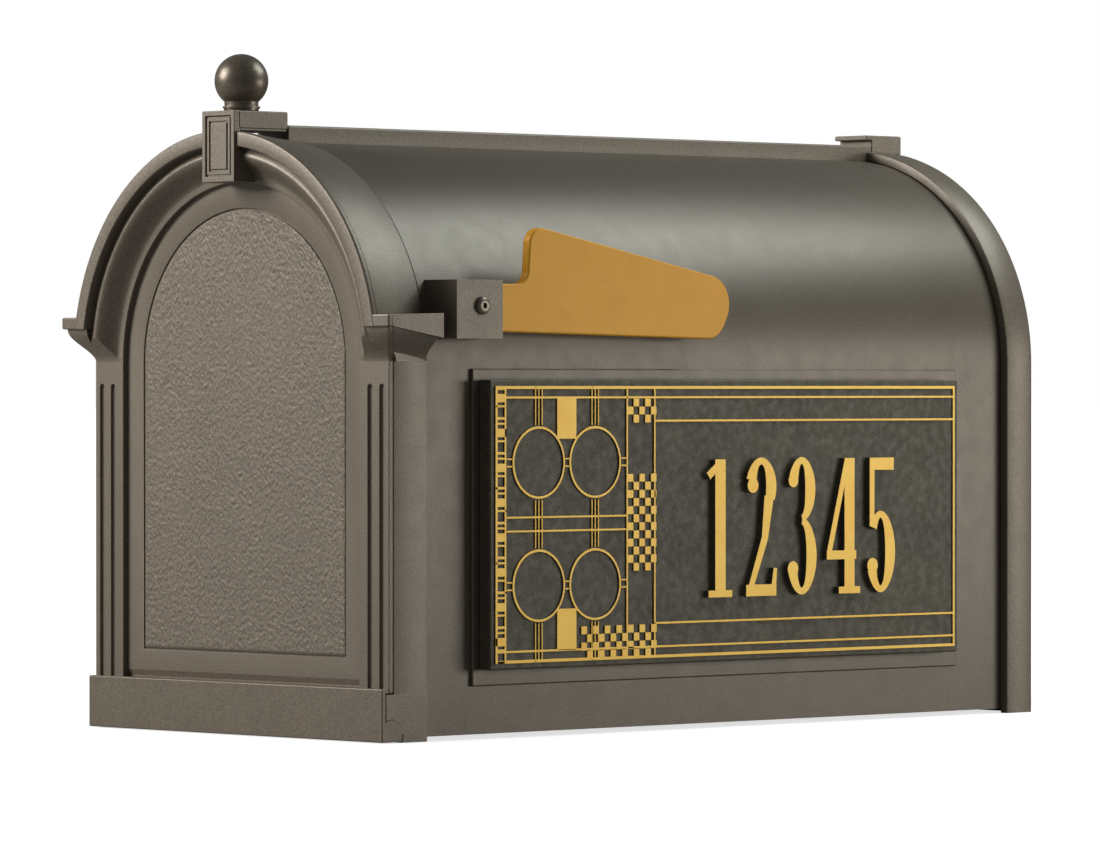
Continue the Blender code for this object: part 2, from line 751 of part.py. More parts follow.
def make_flag_mount(look, steel, pieces):
    bracket = link("flag_bracket", box((100.0, BRACKET_FACE), BRACKET_Y, BRACKET_Z), look)
    channel = box(
        (BRACKET_FOOT_X, BRACKET_FACE - BRACKET_PLATE),
        (BRACKET_Y[0] + BRACKET_WEB, BRACKET_Y[1] + 10.0),
        (BRACKET_Z[0] + BRACKET_WEB, BRACKET_Z[1] + 10.0),
    )
    cut(bracket, channel, arch_prism(SHELL_RADIUS + GAP, 150.0, 0.0, 100.0))
    cut(bracket, rod((118.0, PIVOT_Y, PIVOT_Z), (1, 0, 0), PIVOT_HOLE_RADIUS, 30.0))
    pivot = screw(
        "flag_pivot_screw", (BRACKET_FACE + 2.4, PIVOT_Y, PIVOT_Z), (-1, 0, 0), 4.75, 2.1, 2.5, 18.4, look
    )
    washer = link("flag_washer", rod((124.4, PIVOT_Y, PIVOT_Z), (1, 0, 0), 7.0, 3.1, 16), steel)
    cut(washer, rod((120.0, PIVOT_Y, PIVOT_Z), (1, 0, 0), PIVOT_HOLE_RADIUS, 12.0))
    parts = [bracket, pivot, washer]
    slope = math.radians(9.0)
    way = (math.cos(slope), 0, math.sin(slope))
    for number, y in enumerate((49.6, 60.2), 1):
        reach = SHELL_RADIUS - SHELL_WALL - 2.4
        head_end = (reach * way[0], y, ARCH_CENTRE_Z + reach * way[2])
        parts.append(screw(f"bracket_screw_{number}", head_end, way, 3.4, 2.0, 1.6, 6.8, steel))
        for holed in (bracket, pieces["body_shell"]):
            cut(holed, rod(head_end, way, 1.9, 9.1, 10))
    return parts


# Plaque -------------------------------------------------------------------------------


def make_plaque(look, steel, pieces):
    plaque = link("side_plaque", box((PLAQUE_BACK, PLAQUE_FACE), PLAQUE_Y, PLAQUE_Z), look)
    wall = 3.0
    cut(
        plaque,
        box(
            (PLAQUE_BACK - 5.0, PLAQUE_FACE - wall),
            (PLAQUE_Y[0] + wall, PLAQUE_Y[1] - wall),
            (PLAQUE_Z[0] + wall, PLAQUE_Z[1] - wall),
        ),
    )
    places = [(y, z) for y in (90.0, 400.0) for z in (60.0, 168.0)]
    join(plaque, *(rod((PLAQUE_BACK, y, z), (1, 0, 0), 4.5, 6.6) for y, z in places))
    parts = [plaque]
    for number, (y, z) in enumerate(places, 1):
        head_end = (114.2, y, z)
        parts.append(screw(f"plaque_screw_{number}", head_end, (1, 0, 0), 3.8, 2.0, 1.9, 11.2, steel))
        for holed in (plaque, pieces["body_shell"]):
            cut(holed, rod(head_end, (1, 0, 0), 2.2, 13.6, 10))
    return parts


def stroke(points, widths):
    """A pen stroke as a (u, v) outline: a line through the points with a width at each one."""
    left, right = [], []
    for i, (u, v) in enumerate(points):
        ahead = Vector(points[min(i + 1, len(points) - 1)])
        behind = Vector(points[max(i - 1, 0)])
        along = (ahead - behind).normalized()
        across = Vector((-along.y, along.x)) * widths[i] / 2
        left.append((u + across.x, v + across.y))
        right.append((u - across.x, v - across.y))
    return left + right[::-1]


def bowl(centre, reach, start, end, thin, thick, steps=14):
    """An elliptical stroke between two angles in degrees, thick at its sides and thin at its ends."""
    points, widths = [], []
    for i in range(steps + 1):
        angle = math.radians(start + (end - start) * i / steps)
        points.append((centre[0] + reach[0] * math.cos(angle), centre[1] + reach[1] * math.sin(angle)))
        widths.append(thin + (thick - thin) * math.cos(angle) ** 2)
    return stroke(points, widths)


def slab(u0, v0, u1, v1):
    return [(u0, v0), (u1, v0), (u1, v1), (u0, v1)]


def disc(u, v, radius):
    turn = [2 * math.pi * i / 12 for i in range(12)]
    return [(u + radius * math.cos(a), v + radius * math.sin(a)) for a in turn]


def digit_strokes(digit):
    """The strokes of a narrow upright numeral, on a body one unit tall."""
    thin, thick = 0.05, 0.105
    w = DIGIT_WIDTH / DIGIT_HEIGHT
    mid = w / 2
    if digit == 1:
        return [
            slab(mid - thick / 2, 0.01, mid + thick / 2, 0.99),
            slab(mid - 0.12, 0.0, mid + 0.12, thin),
            stroke([(mid, 0.965), (mid - 0.12, 0.87)], [thin, thin * 1.2]),
        ]
    if digit == 2:
        return [
            bowl((mid, 0.79), (mid - thick / 2, 0.185), 165, -28, thin, thick),
            stroke([(w - 0.075, 0.72), (w * 0.62, 0.42), (0.035, 0.03)], [thick * 0.9, thin * 1.3, thin]),
            slab(0.0, 0.0, w, thick * 0.8),
            stroke([(w - 0.01, 0.2), (w - 0.03, 0.04)], [thin * 0.7, thin]),
            disc(0.07, 0.8, 0.055),
        ]
    if digit == 3:
        return [
            bowl((mid, 0.765), (mid - thick * 0.62, 0.21), 155, -88, thin, thick),
            bowl((mid, 0.28), (mid - thick / 2, 0.255), 88, -155, thin, thick),
            disc(0.07, 0.83, 0.05),
            disc(0.065, 0.19, 0.055),
        ]
    if digit == 4:
        return [
            slab(w * 0.6, 0.01, w * 0.6 + thick, 0.99),
            stroke([(w * 0.68, 0.97), (0.025, 0.3)], [thin, thin]),
            slab(0.0, 0.25, w, 0.25 + thin * 1.3),
            slab(w * 0.6 - 0.06, 0.0, w * 0.6 + thick + 0.06, thin),
        ]
    return [
        slab(0.035, 0.5, 0.035 + thin, 0.99),
        slab(0.035, 0.9, w - 0.02, 0.99),
        bowl((mid - 0.005, 0.3), (mid - thick / 2, 0.275), 140, -152, thin, thick),
        disc(0.065, 0.2, 0.055),
    ]


def make_digits(gold):
    digits = []
    for place, digit in enumerate((1, 2, 3, 4, 5)):
        base_y = DIGIT_START_Y + place * DIGIT_PITCH
        solids = []
        for depth, outline in enumerate(digit_strokes(digit)):
            scaled = [(base_y + u * DIGIT_HEIGHT, DIGIT_Z[0] + v * DIGIT_HEIGHT) for u, v in outline]
            solids.append(prism(scaled, "x", PLAQUE_FACE + GAP, DIGIT_FACE - 0.02 * depth))
        made = link(f"digit_{place + 1}", solids[0], gold)
        join(made, *solids[1:])
        digits.append(made)
    return digits


# Assembly -----------------------------------------------------------------------------


def pivot_empty(name, location, parent=None):
    empty = bpy.data.objects.new(name, None)
    bpy.context.scene.collection.objects.link(empty)
    empty.location = [value * MM for value in location]
    empty.parent = parent
    return empty


def attach(pieces, empty, axis=(0.0, 0.0, 0.0)):
    """Hangs pieces, modelled about the datums, on an empty that stands at axis."""
    for piece in pieces:
        piece.parent = empty
        piece.location = [-value * MM for value in axis]


def main():
    clear_scene()
    bronze = material("bronze_powder_coat", BRONZE, 0.0, 0.55)
    inner_bronze = material("bronze_floor_coat", BRONZE, 0.0, 0.6)
    plaque_look = material("dark_bronze_plaque", DARK_BRONZE, 0.0, 0.6)
    gold = material("gold_paint", GOLD, 0.3, 0.4)
    steel = material("zinc_steel", STEEL, 1.0, 0.4)
    magnet_look = material("ferrite_magnet", MAGNET_GREY, 0.0, 0.7)

    pieces = {
        "body_shell": make_shell(bronze),
        "front_frame": make_front_frame(bronze),
        "rear_cap": make_rear_cap(bronze),
        "ridge_strip": make_ridge_strip(bronze),
        "floor_pan": make_floor_pan(inner_bronze),
    }
    fixed = fasten_sides(steel, pieces)
    fixed += fasten_ridge(steel, pieces)
    fixed += make_hinge_pins(steel)
    fixed += make_catch(steel, magnet_look, pieces)
    fixed += make_flag_mount(bronze, steel, pieces)
    fixed += make_plaque(plaque_look, steel, pieces)
    fixed += make_digits(gold)
    fixed += pieces.values()
    door = [make_door(bronze)]
    door += make_finial(bronze, steel)
    door += make_strike(steel)
    flag = [make_flag(gold)]

    hinge = (0.0, HINGE_Y, HINGE_Z)
    pivot = (0.0, PIVOT_Y, PIVOT_Z)
    assembly = pivot_empty("assembly", (0.0, -MOUNT_Y, -MOUNT_Z))
    attach(fixed, assembly)
    attach(door, pivot_empty("door_hinge_axis", hinge, assembly), hinge)
    attach(flag, pivot_empty("flag_pivot_axis", pivot, assembly), pivot)


main()
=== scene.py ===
"""Curbside mailbox: what is seen of it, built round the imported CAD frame.

Lengths below are millimetres from the casting's datums: x from the middle plane, y from the
door's hinge axis (the front is at -y) and z from the plinth's underside.
"""

import json
import math

import bmesh
import bpy
from mathutils import Matrix, Vector, noise


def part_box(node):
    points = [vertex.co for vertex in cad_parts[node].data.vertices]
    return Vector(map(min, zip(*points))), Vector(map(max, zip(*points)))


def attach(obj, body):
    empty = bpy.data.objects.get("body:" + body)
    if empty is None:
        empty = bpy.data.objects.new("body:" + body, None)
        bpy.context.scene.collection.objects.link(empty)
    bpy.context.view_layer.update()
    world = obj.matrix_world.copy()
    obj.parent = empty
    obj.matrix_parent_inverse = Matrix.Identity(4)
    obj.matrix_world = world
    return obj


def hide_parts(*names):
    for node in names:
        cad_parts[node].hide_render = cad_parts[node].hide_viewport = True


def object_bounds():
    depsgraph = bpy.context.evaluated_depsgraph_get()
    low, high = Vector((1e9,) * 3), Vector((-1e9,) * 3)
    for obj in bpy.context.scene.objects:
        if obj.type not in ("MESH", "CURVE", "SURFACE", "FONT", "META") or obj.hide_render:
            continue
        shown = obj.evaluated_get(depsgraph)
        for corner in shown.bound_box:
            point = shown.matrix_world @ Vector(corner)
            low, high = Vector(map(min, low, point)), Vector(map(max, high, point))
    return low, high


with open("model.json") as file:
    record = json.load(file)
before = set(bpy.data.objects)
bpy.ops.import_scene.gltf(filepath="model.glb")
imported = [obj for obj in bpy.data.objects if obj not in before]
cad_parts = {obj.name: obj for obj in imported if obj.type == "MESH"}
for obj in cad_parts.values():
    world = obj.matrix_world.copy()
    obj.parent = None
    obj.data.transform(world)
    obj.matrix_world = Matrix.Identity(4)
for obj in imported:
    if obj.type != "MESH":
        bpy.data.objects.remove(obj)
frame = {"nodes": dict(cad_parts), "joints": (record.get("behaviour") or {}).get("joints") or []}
cad_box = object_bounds()

MM = 0.001
joints = {joint["name"]: Vector(joint["pos_m"]) for joint in frame["joints"]}
DATUM = Vector((0.0, joints["door_hinge"].y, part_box("front_frame")[0].z))

ARCH_STEPS = 96
ARCH_Z = 201.5
SHELL_RADIUS = 119.5
HALF_WIDTH = 120.65
HINGE_Z = (joints["door_hinge"].z - DATUM.z) / MM
PIVOT = Vector((0.0, joints["flag_pivot"].y - DATUM.y, joints["flag_pivot"].z - DATUM.z)) / MM


def cad(node):
    """A CAD node's box in millimetres from the datums."""
    low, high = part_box(node)
    return (low - DATUM) / MM, (high - DATUM) / MM


# Mesh helpers -------------------------------------------------------------------------


def link(name, bm):
    """Turns a bmesh in millimetres from the datums into an object in the row frame."""
    bmesh.ops.recalc_face_normals(bm, faces=bm.faces)
    for vert in bm.verts:
        vert.co = vert.co * MM + DATUM
    mesh = bpy.data.meshes.new(name)
    bm.to_mesh(mesh)
    bm.free()
    mesh.shade_smooth()
    made = bpy.data.objects.new(name, mesh)
    bpy.context.scene.collection.objects.link(made)
    return made


def merged(solids):
    """Several closed solids in one bmesh, as the parts of one casting."""
    whole = bmesh.new()
    for solid in solids:
        mesh = bpy.data.meshes.new("part")
        solid.to_mesh(mesh)
        solid.free()
        whole.from_mesh(mesh)
        bpy.data.meshes.remove(mesh)
    return whole


def bridge(bm, rings):
    """Faces between each closed ring and the next. The rings have the same number of points."""
    for ring, following in zip(rings, rings[1:]):
        for i in range(len(ring)):
            j = (i + 1) % len(ring)
            bm.faces.new((ring[i], ring[j], following[j], following[i]))


def loft(sections):
    """A closed solid through a run of closed sections that have the same number of points."""
    bm = bmesh.new()
    rings = [[bm.verts.new(point) for point in section] for section in sections]
    bridge(bm, rings)
    bm.faces.new(rings[0][::-1])
    bm.faces.new(rings[-1])
    return bm


def prism(outline, axis, low, high):
    """An outline extruded along an axis. Its points are (y, z), (x, z) or (x, y)."""
    order = {
        "x": lambda at, a, b: (at, a, b),
        "y": lambda at, a, b: (a, at, b),
        "z": lambda at, a, b: (a, b, at),
    }
    return loft([[order[axis](at, a, b) for a, b in outline] for at in (low, high)])


def box(x, y, z):
    return prism([(y[0], z[0]), (y[1], z[0]), (y[1], z[1]), (y[0], z[1])], "x", *x)


def sided(name, side):
    return f"{name}_{'right' if side > 0 else 'left'}"


def span(side, inner, outer):
    return sorted((side * inner, side * outer))


def around(a, b, radius, angle):
    """The point of a circle about (a, b) at an angle in radians."""
    return a + radius * math.cos(angle), b + radius * math.sin(angle)


def fillet(corners, steps=4):
    """A closed outline from (a, b, radius) corners, each rounded by its own radius."""
    outline = []
    for i, (a, b, radius) in enumerate(corners):
        if not radius:
            outline.append((a, b))
            continue
        corner = Vector((a, b))
        into = (Vector(corners[i - 1][:2]) - corner).normalized()
        out = (Vector(corners[(i + 1) % len(corners)][:2]) - corner).normalized()
        half = into.angle(out) / 2
        reach = radius / math.tan(half)
        centre = corner + (into + out).normalized() * (radius / math.sin(half))
        start = corner + into * reach - centre
        turn = start.angle_signed(corner + out * reach - centre)
        for step in range(steps + 1):
            spun = start.copy()
            spun.rotate(Matrix.Rotation(-turn * step / steps, 2))
            outline.append(tuple(centre + spun))
    return outline


def arch_outline(half_width, bottom):
    points = [(half_width, bottom)]
    for i in range(ARCH_STEPS + 1):
        points.append(around(0, ARCH_Z, half_width, math.pi * i / ARCH_STEPS))
    points.append((-half_width, bottom))
    return points


def arch_prism(half_width, bottom, low, high):
    return prism(arch_outline(half_width, bottom), "y", low, high)


def arch_sweep(profile):
    """A closed (radius, y) profile swept round the upper half circle."""
    sections = []
    for i in range(ARCH_STEPS + 1):
        angle = math.pi * i / ARCH_STEPS
        sections.append([(r * math.cos(angle), y, ARCH_Z + r * math.sin(angle)) for r, y in profile])
    return loft(sections)


def arch_rim(outer, inner, levels):
    """A flat arch with an arched hole: levels are (y, how far the hole is widened there)."""
    bm = bmesh.new()
    outer_levels = (levels[-1][0], levels[0][0])
    rings = [[bm.verts.new((x, y, z)) for x, z in arch_outline(*outer)] for y in outer_levels]
    for y, wider in levels:
        rings.append([bm.verts.new((x, y, z)) for x, z in arch_outline(inner[0] + wider, inner[1] - wider)])
    bridge(bm, rings + rings[:1])
    return bm


def turned(profile, segments):
    """An (r, z) profile turned about z. It starts and ends on the axis."""
    bm = bmesh.new()
    turn = [2 * math.pi * i / segments for i in range(segments)]
    rings = [[bm.verts.new((r * math.cos(a), r * math.sin(a), z)) for a in turn] for r, z in profile[1:-1]]
    bridge(bm, rings)
    for ring, (_, z) in ((rings[0], profile[0]), (rings[-1], profile[-1])):
        tip = bm.verts.new((0, 0, z))
        for i in range(segments):
            bm.faces.new((tip, ring[i], ring[(i + 1) % segments]))
    return bm


def aimed(bm, start, direction):
    """Moves a solid turned about z so that it starts at a point and runs along a direction."""
    turn = Vector(direction).to_track_quat("Z", "Y").to_matrix().to_4x4()
    bmesh.ops.transform(bm, matrix=Matrix.Translation(start) @ turn, verts=bm.verts)
    return bm


def rod(start, direction, radius, length, segments):
    return aimed(turned([(0, 0), (radius, 0), (radius, length), (0, length)], segments), start, direction)


def combine(base, operation, solids):
    """Joins solids to an object, or cuts them from it, and keeps the result as its mesh."""
    helpers = [link(f"{base.name}_helper", solid) for solid in solids]
    for helper in helpers:
        change = base.modifiers.new(operation.title(), "BOOLEAN")
        change.operation = operation
        change.object = helper
    graph = bpy.context.evaluated_depsgraph_get()
    mesh = bpy.data.meshes.new_from_object(base.evaluated_get(graph))
    base.modifiers.clear()
    base.data = mesh
    for helper in helpers:
        bpy.data.objects.remove(helper, do_unlink=True)
    mesh.shade_smooth()


def soften(obj, width, segments=2, angle=35):
    """Rounds an object's edges, as on a casting, and keeps its flat faces flat."""
    change = obj.modifiers.new("Edges", "BEVEL")
    change.width = width * MM
    change.segments = segments
    change.limit_method = "ANGLE"
    change.angle_limit = math.radians(angle)
    change.harden_normals = True
    return obj


def keep_creases(obj, angle=30):
    obj.data.shade_smooth()
    obj.data.set_sharp_from_angle(angle=math.radians(angle))
    return obj


def finish_piece(obj, body, look, nodes=()):
    obj.data.materials.clear()
    obj.data.materials.append(look)
    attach(obj, body)
    if nodes:
        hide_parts(*nodes)
    return obj


# Materials ----------------------------------------------------------------------------


class Nodes:
    """A Principled material and short calls for the nodes that drive it."""

    def __init__(self, name):
        self.material = bpy.data.materials.new(name)
        self.material.use_nodes = True
        self.tree = self.material.node_tree
        self.shader = self.tree.nodes["Principled BSDF"]
        self.place = self.tree.nodes.new("ShaderNodeTexCoord").outputs["Object"]

    def add(self, kind, **values):
        node = self.tree.nodes.new(kind)
        for key, value in values.items():
            setattr(node, key, value)
        return node

    def feed(self, value, socket):
        if isinstance(value, bpy.types.NodeSocket):
            self.tree.links.new(value, socket)
        else:
            socket.default_value = value

    def noise(self, size, detail=2.0, stretch=(1, 1, 1), turn=(0, 0, 0)):
        """Noise from 0 to 1 whose features are about size millimetres."""
        at = self.add("ShaderNodeMapping")
        self.feed(self.place, at.inputs["Vector"])
        at.inputs["Scale"].default_value = stretch
        at.inputs["Rotation"].default_value = turn
        made = self.add("ShaderNodeTexNoise")
        self.feed(at.outputs["Vector"], made.inputs["Vector"])
        made.inputs["Scale"].default_value = 1 / (size * MM)
        made.inputs["Detail"].default_value = detail
        return made.outputs["Fac"]

    def spread(self, value, low, high, to_low=0.0, to_high=1.0):
        """Stretches the part of a value between low and high over another range."""
        made = self.add("ShaderNodeMapRange", interpolation_type="SMOOTHSTEP")
        for socket, number in zip(("From Min", "From Max", "To Min", "To Max"), (low, high, to_low, to_high)):
            made.inputs[socket].default_value = number
        self.feed(value, made.inputs["Value"])
        return made.outputs["Result"]

    def math(self, operation, a, b=0.0):
        made = self.add("ShaderNodeMath", operation=operation)
        self.feed(a, made.inputs[0])
        self.feed(b, made.inputs[1])
        return made.outputs[0]

    def mix(self, factor, a, b):
        made = self.add("ShaderNodeMix", data_type="RGBA")
        self.feed(factor, made.inputs["Factor"])
        for socket, value in (("A", a), ("B", b)):
            slot = [s for s in made.inputs if s.name == socket and s.type == "RGBA"][0]
            self.feed((*value, 1.0) if isinstance(value, tuple) else value, slot)
        return [s for s in made.outputs if s.type == "RGBA"][0]

    def edges(self, width):
        """How near an outer edge a point is, from 0 on a flat face to 1 on the edge."""
        rounded = self.add("ShaderNodeBevel", samples=4)
        rounded.inputs["Radius"].default_value = width * MM
        flat = self.add("ShaderNodeNewGeometry").outputs["Normal"]
        dot = self.add("ShaderNodeVectorMath", operation="DOT_PRODUCT")
        self.feed(rounded.outputs["Normal"], dot.inputs[0])
        self.feed(flat, dot.inputs[1])
        return self.spread(self.math("SUBTRACT", 1.0, dot.outputs["Value"]), 0.01, 0.25)

    def surface(self, colour, roughness, metallic=0.0):
        for name, value in (("Base Color", colour), ("Roughness", roughness), ("Metallic", metallic)):
            self.feed(value, self.shader.inputs[name])

    def bump(self, height, depth):
        """Bump whose full height is depth millimetres."""
        made = self.add("ShaderNodeBump")
        made.inputs["Strength"].default_value = 1.0
        made.inputs["Distance"].default_value = depth * MM
        self.feed(height, made.inputs["Height"])
        self.feed(made.outputs["Normal"], self.shader.inputs["Normal"])


def shade(colour, by):
    return tuple(channel * by for channel in colour)


def shades(colour, factors):
    return [shade(colour, by) for by in factors]


CLOUD = (0.93, 1.07)
FLECK_SHARE = 0.6
FLAKE_SHARE = 0.55
FLAKE_SHADE = 1.9
# The painted highlight along the coat's edges: how strongly it shows, how pale it is, and how much glossier
# it makes the edges.
EDGE_HIGHLIGHT_SHARE = 0.5
EDGE_HIGHLIGHT_SHADE = 2.1
EDGE_HIGHLIGHT_GLOSS = 0.15


def powder_coat(name, colour, roughness, metallic, grain=0.05, speckle=0.38):
    """A sprayed coat: cloudy tone, fine speckle of flake, orange peel, and a painted highlight along its
    edges, which are also a little glossier.
    """
    look = Nodes(name)
    tone = look.mix(look.spread(look.noise(55, 3), 0.32, 0.68), *shades(colour, CLOUD))
    fine = look.spread(look.noise(0.75, 2), 0.35, 0.65)
    flecked = look.mix(fine, *shades(colour, (1 - speckle, 1 + speckle)))
    base = look.mix(FLECK_SHARE, tone, flecked)
    flake = look.math("MULTIPLY", look.spread(look.noise(0.55, 1), 0.66, 0.74), FLAKE_SHARE)
    base = look.mix(flake, base, shade(colour, FLAKE_SHADE))
    # Painted highlight: the outer edges are made paler in patches by an edge mask broken up by noise.
    edge_highlight_mask = look.math("MULTIPLY", look.edges(0.9), look.spread(look.noise(6, 3), 0.3, 0.7, 0.35, 1.0))
    painted_edge_highlight = look.math("MULTIPLY", edge_highlight_mask, EDGE_HIGHLIGHT_SHARE)
    base = look.mix(painted_edge_highlight, base, shade(colour, EDGE_HIGHLIGHT_SHADE))
    uneven = look.spread(look.noise(12, 4), 0.2, 0.8, roughness - 0.025, roughness + 0.025)
    glossy_edge_roughness = look.math("SUBTRACT", uneven, look.math("MULTIPLY", painted_edge_highlight, EDGE_HIGHLIGHT_GLOSS))
    look.surface(base, glossy_edge_roughness, metallic)
    peel = look.math("ADD", look.noise(1.5, 2), look.math("MULTIPLY", look.noise(0.5, 2), 0.6))
    look.bump(peel, grain)
    return look.material


def hammered_coat(name, colour, roughness, metallic):
    """The coat on the door's embossed field, with painted highlight and shade: the grain's tops paler and its
    hollows darker, following its bump.
    """
    look = Nodes(name)
    lean = (0.0, math.radians(-24), 0.0)
    grain = look.noise(0.9, 2, (1.0, 1.0, 0.5), lean)
    # Painted highlight and shade: the same noise as the bump makes the grain's tops paler and its hollows
    # darker.
    base = look.mix(look.spread(grain, 0.32, 0.68), *shades(colour, (0.70, 1.36)))
    cloud = look.mix(look.spread(look.noise(50, 3), 0.3, 0.7), *shades(colour, CLOUD))
    base = look.mix(0.4, base, cloud)
    uneven = look.spread(look.noise(7, 3), 0.3, 0.7, roughness - 0.04, roughness + 0.05)
    look.surface(base, uneven, metallic)
    look.bump(look.math("ADD", grain, look.math("MULTIPLY", look.noise(0.45, 2), 0.5)), 0.42)
    return look.material


def stippled_paint(name, colour):
    """The plaque's field: matt dark bronze with a sparse pale stipple."""
    look = Nodes(name)
    cloud = look.mix(look.spread(look.noise(30, 4), 0.3, 0.7), *shades(colour, (0.85, 1.15)))
    stipple = look.spread(look.noise(0.8, 1), 0.58, 0.7)
    base = look.mix(look.math("MULTIPLY", stipple, 0.62), cloud, shade(colour, 2.6))
    pits = look.spread(look.noise(1.1, 2), 0.3, 0.42)
    base = look.mix(pits, shade(colour, 0.55), base)
    # Painted highlight: the plaque's outer edges are made paler.
    edge_highlight_mask = look.math("MULTIPLY", look.edges(0.7), 0.3)
    base = look.mix(edge_highlight_mask, base, shade(colour, 2.4))
    look.surface(base, look.spread(look.noise(5, 3), 0.3, 0.7, 0.5, 0.66), 0.1)
    look.bump(look.math("ADD", look.noise(0.9, 2), look.math("MULTIPLY", stipple, 0.5)), 0.12)
    return look.material


def enamel(name, colour, dark, roughness, peel, edge_tone):
    """Gold enamel: brushed on by hand, slightly deeper where it lies thick, with edges of another tone, which
    is a painted glint where that tone is paler, as on the flag.
    """
    look = Nodes(name)
    tone = look.mix(look.spread(look.noise(16, 4), 0.3, 0.7), dark, colour)
    streak = look.spread(look.noise(2.2, 3, (1.0, 0.25, 1.0)), 0.35, 0.65)
    base = look.mix(look.math("MULTIPLY", streak, 0.35), tone, shade(colour, 1.04))
    # Edge tone: on the flag a paler tone, a painted glint on its rounded edges; on the numerals and trim a
    # deeper orange.
    edge = look.math("MULTIPLY", look.edges(0.6), 0.5)
    base = look.mix(edge, base, edge_tone)
    uneven = look.spread(look.noise(7, 4), 0.2, 0.8, roughness - 0.02, roughness + 0.02)
    look.surface(base, uneven, 0.05)
    look.shader.inputs["Specular IOR Level"].default_value = 0.15
    look.shader.inputs["Coat Weight"].default_value = 0.03
    look.shader.inputs["Coat Roughness"].default_value = 0.2
    look.bump(look.noise(peel, 3), 0.04)
    return look.material


def zinc(name):
    """Zinc plating: bluish grey spangle, fine scratches and duller patches."""
    look = Nodes(name)
    spangle = look.mix(look.spread(look.noise(2.5, 4), 0.3, 0.7), (0.36, 0.37, 0.39), (0.62, 0.63, 0.64))
    dulled = look.math("MULTIPLY", look.spread(look.noise(8, 3), 0.5, 0.8), 0.5)
    base = look.mix(dulled, spangle, (0.24, 0.23, 0.21))
    look.surface(base, look.spread(look.noise(3, 3), 0.3, 0.7, 0.28, 0.5), 0.95)
    look.bump(look.noise(0.6, 2, (1.0, 6.0, 1.0)), 0.02)
    return look.material


def ferrite(name):
    """A sintered magnet: near black, matt, with small chips and grey dust."""
    look = Nodes(name)
    dust = look.spread(look.noise(1.4, 4), 0.5, 0.75)
    base = look.mix(dust, (0.022, 0.022, 0.024), (0.07, 0.068, 0.065))
    look.surface(base, look.spread(dust, 0.0, 1.0, 0.55, 0.8))
    look.bump(look.noise(0.7, 3), 0.06)
    return look.material


BRONZE = (0.132, 0.110, 0.083)
bronze = powder_coat("bronze_coat", BRONZE, 0.42, 0.25)
bronze_sheet = powder_coat("bronze_sheet_coat", shade(BRONZE, 0.72), 0.4, 0.3, grain=0.04, speckle=0.22)
bronze_ball = powder_coat("bronze_ball_coat", shade(BRONZE, 0.95), 0.34, 0.5, grain=0.03)
bronze_floor = powder_coat("bronze_floor_coat", shade(BRONZE, 0.85), 0.55, 0.1, grain=0.06)
field_look = hammered_coat("hammered_coat", BRONZE, 0.4, 0.25)
plaque_look = stippled_paint("plaque_paint", (0.062, 0.054, 0.036))
gold = enamel("gold_enamel", (1.0, 0.64, 0.12), (0.97, 0.57, 0.09), 0.38, 1.2, (0.75, 0.50, 0.16))
# The flag's paler edge tone is a painted glint on its rounded edges.
flag_gold = enamel("flag_enamel", (0.66, 0.32, 0.03), (0.63, 0.30, 0.028), 0.42, 9.0, (0.80, 0.56, 0.26))
steel = zinc("zinc_plate")
magnet_look = ferrite("ferrite")

# Door ---------------------------------------------------------------------------------

PANEL_HALF = 97.0
PANEL_FRONT = 1.0
WALL = 3.0
PANEL_BACK = PANEL_FRONT + WALL
PANEL_LAP = 1.5
SPLAY_TOP = 32.9
PILASTER_FRONT = -2.0
PILASTER_INNER = 101.5
FLUTE_CENTRES = (105.7, 115.0)
FLUTE_HALF = 1.75
FLUTE_DEPTH = 1.6
FLUTE_TOP = 187.7
PLINTH_LOW = 0.4
PLINTH_TOP = 28.7
PLINTH_FRONT = -7.0
FIELD_HALF = 82.2
FIELD_BOTTOM = 45.0
GROOVE = 0.8
BAND = (116.5, 124.7)
BAND_FRONT = -15.2
COVE_INNER = 100.0
COVE_CREST = 9.5
COVE_CREST_AT = 0.7
COVE_FALL = 0.3
COVE_DIP = 2.2
COVE_END = 7.3
COVE_STEPS = 24
# The cornice's foot, the top of its moulding, and its fascia's lower and upper edge.
CORNICE_Z = (201.4, 219.0, 220.0, 226.2)
CORNICE_OUT = (11.5, 13.75)
CORNICE_INNER = 101.0
CORNICE_REAR = 24.8
CORNICE_REAR_Z = (214.0, 227.0)
FRONT_SHARE = 0.94
OGEE_RISE = 17.6
OGEE_STEPS = 20
KNUCKLE_RADIUS = 8.0
KNUCKLE_INNER = 109.8
KEY_HALF = 13.2
KEY_FRONT = -16.8
KEY_REAR = -1.0
KEY_UPPER_REAR = -12.2
KEY_Z = (298.2, 316.0, 336.7)
BLOCK_Y = (-14.0, 22.0)
BLOCK_BOTTOM = 327.0
PARTING = 0.4
# Small steps that keep overlapping faces out of one plane.
CLEAR = 0.04
AIR_CLEAR = 0.12
# A plane well in front of the door, and a reach well past its sides, for cutting solids.
AHEAD = -40.0
ASIDE = 150


def smoothstep(t):
    return t * t * (3 - 2 * t)


def cove(radial=0.0, back=0.0):
    """The moulding from the panel's rib to the arch band as (radius, y): an S to a crest, then a dip."""
    points = []
    for i in range(COVE_STEPS + 1):
        t = i / COVE_STEPS
        radius = COVE_INNER + (BAND[0] - COVE_INNER) * t
        rise = COVE_CREST * smoothstep(min(t / COVE_CREST_AT, 1.0))
        fall = COVE_DIP * smoothstep(max((t - COVE_CREST_AT) / COVE_FALL, 0.0))
        points.append((radius + radial, PILASTER_FRONT - (rise - fall) + back))
    return points


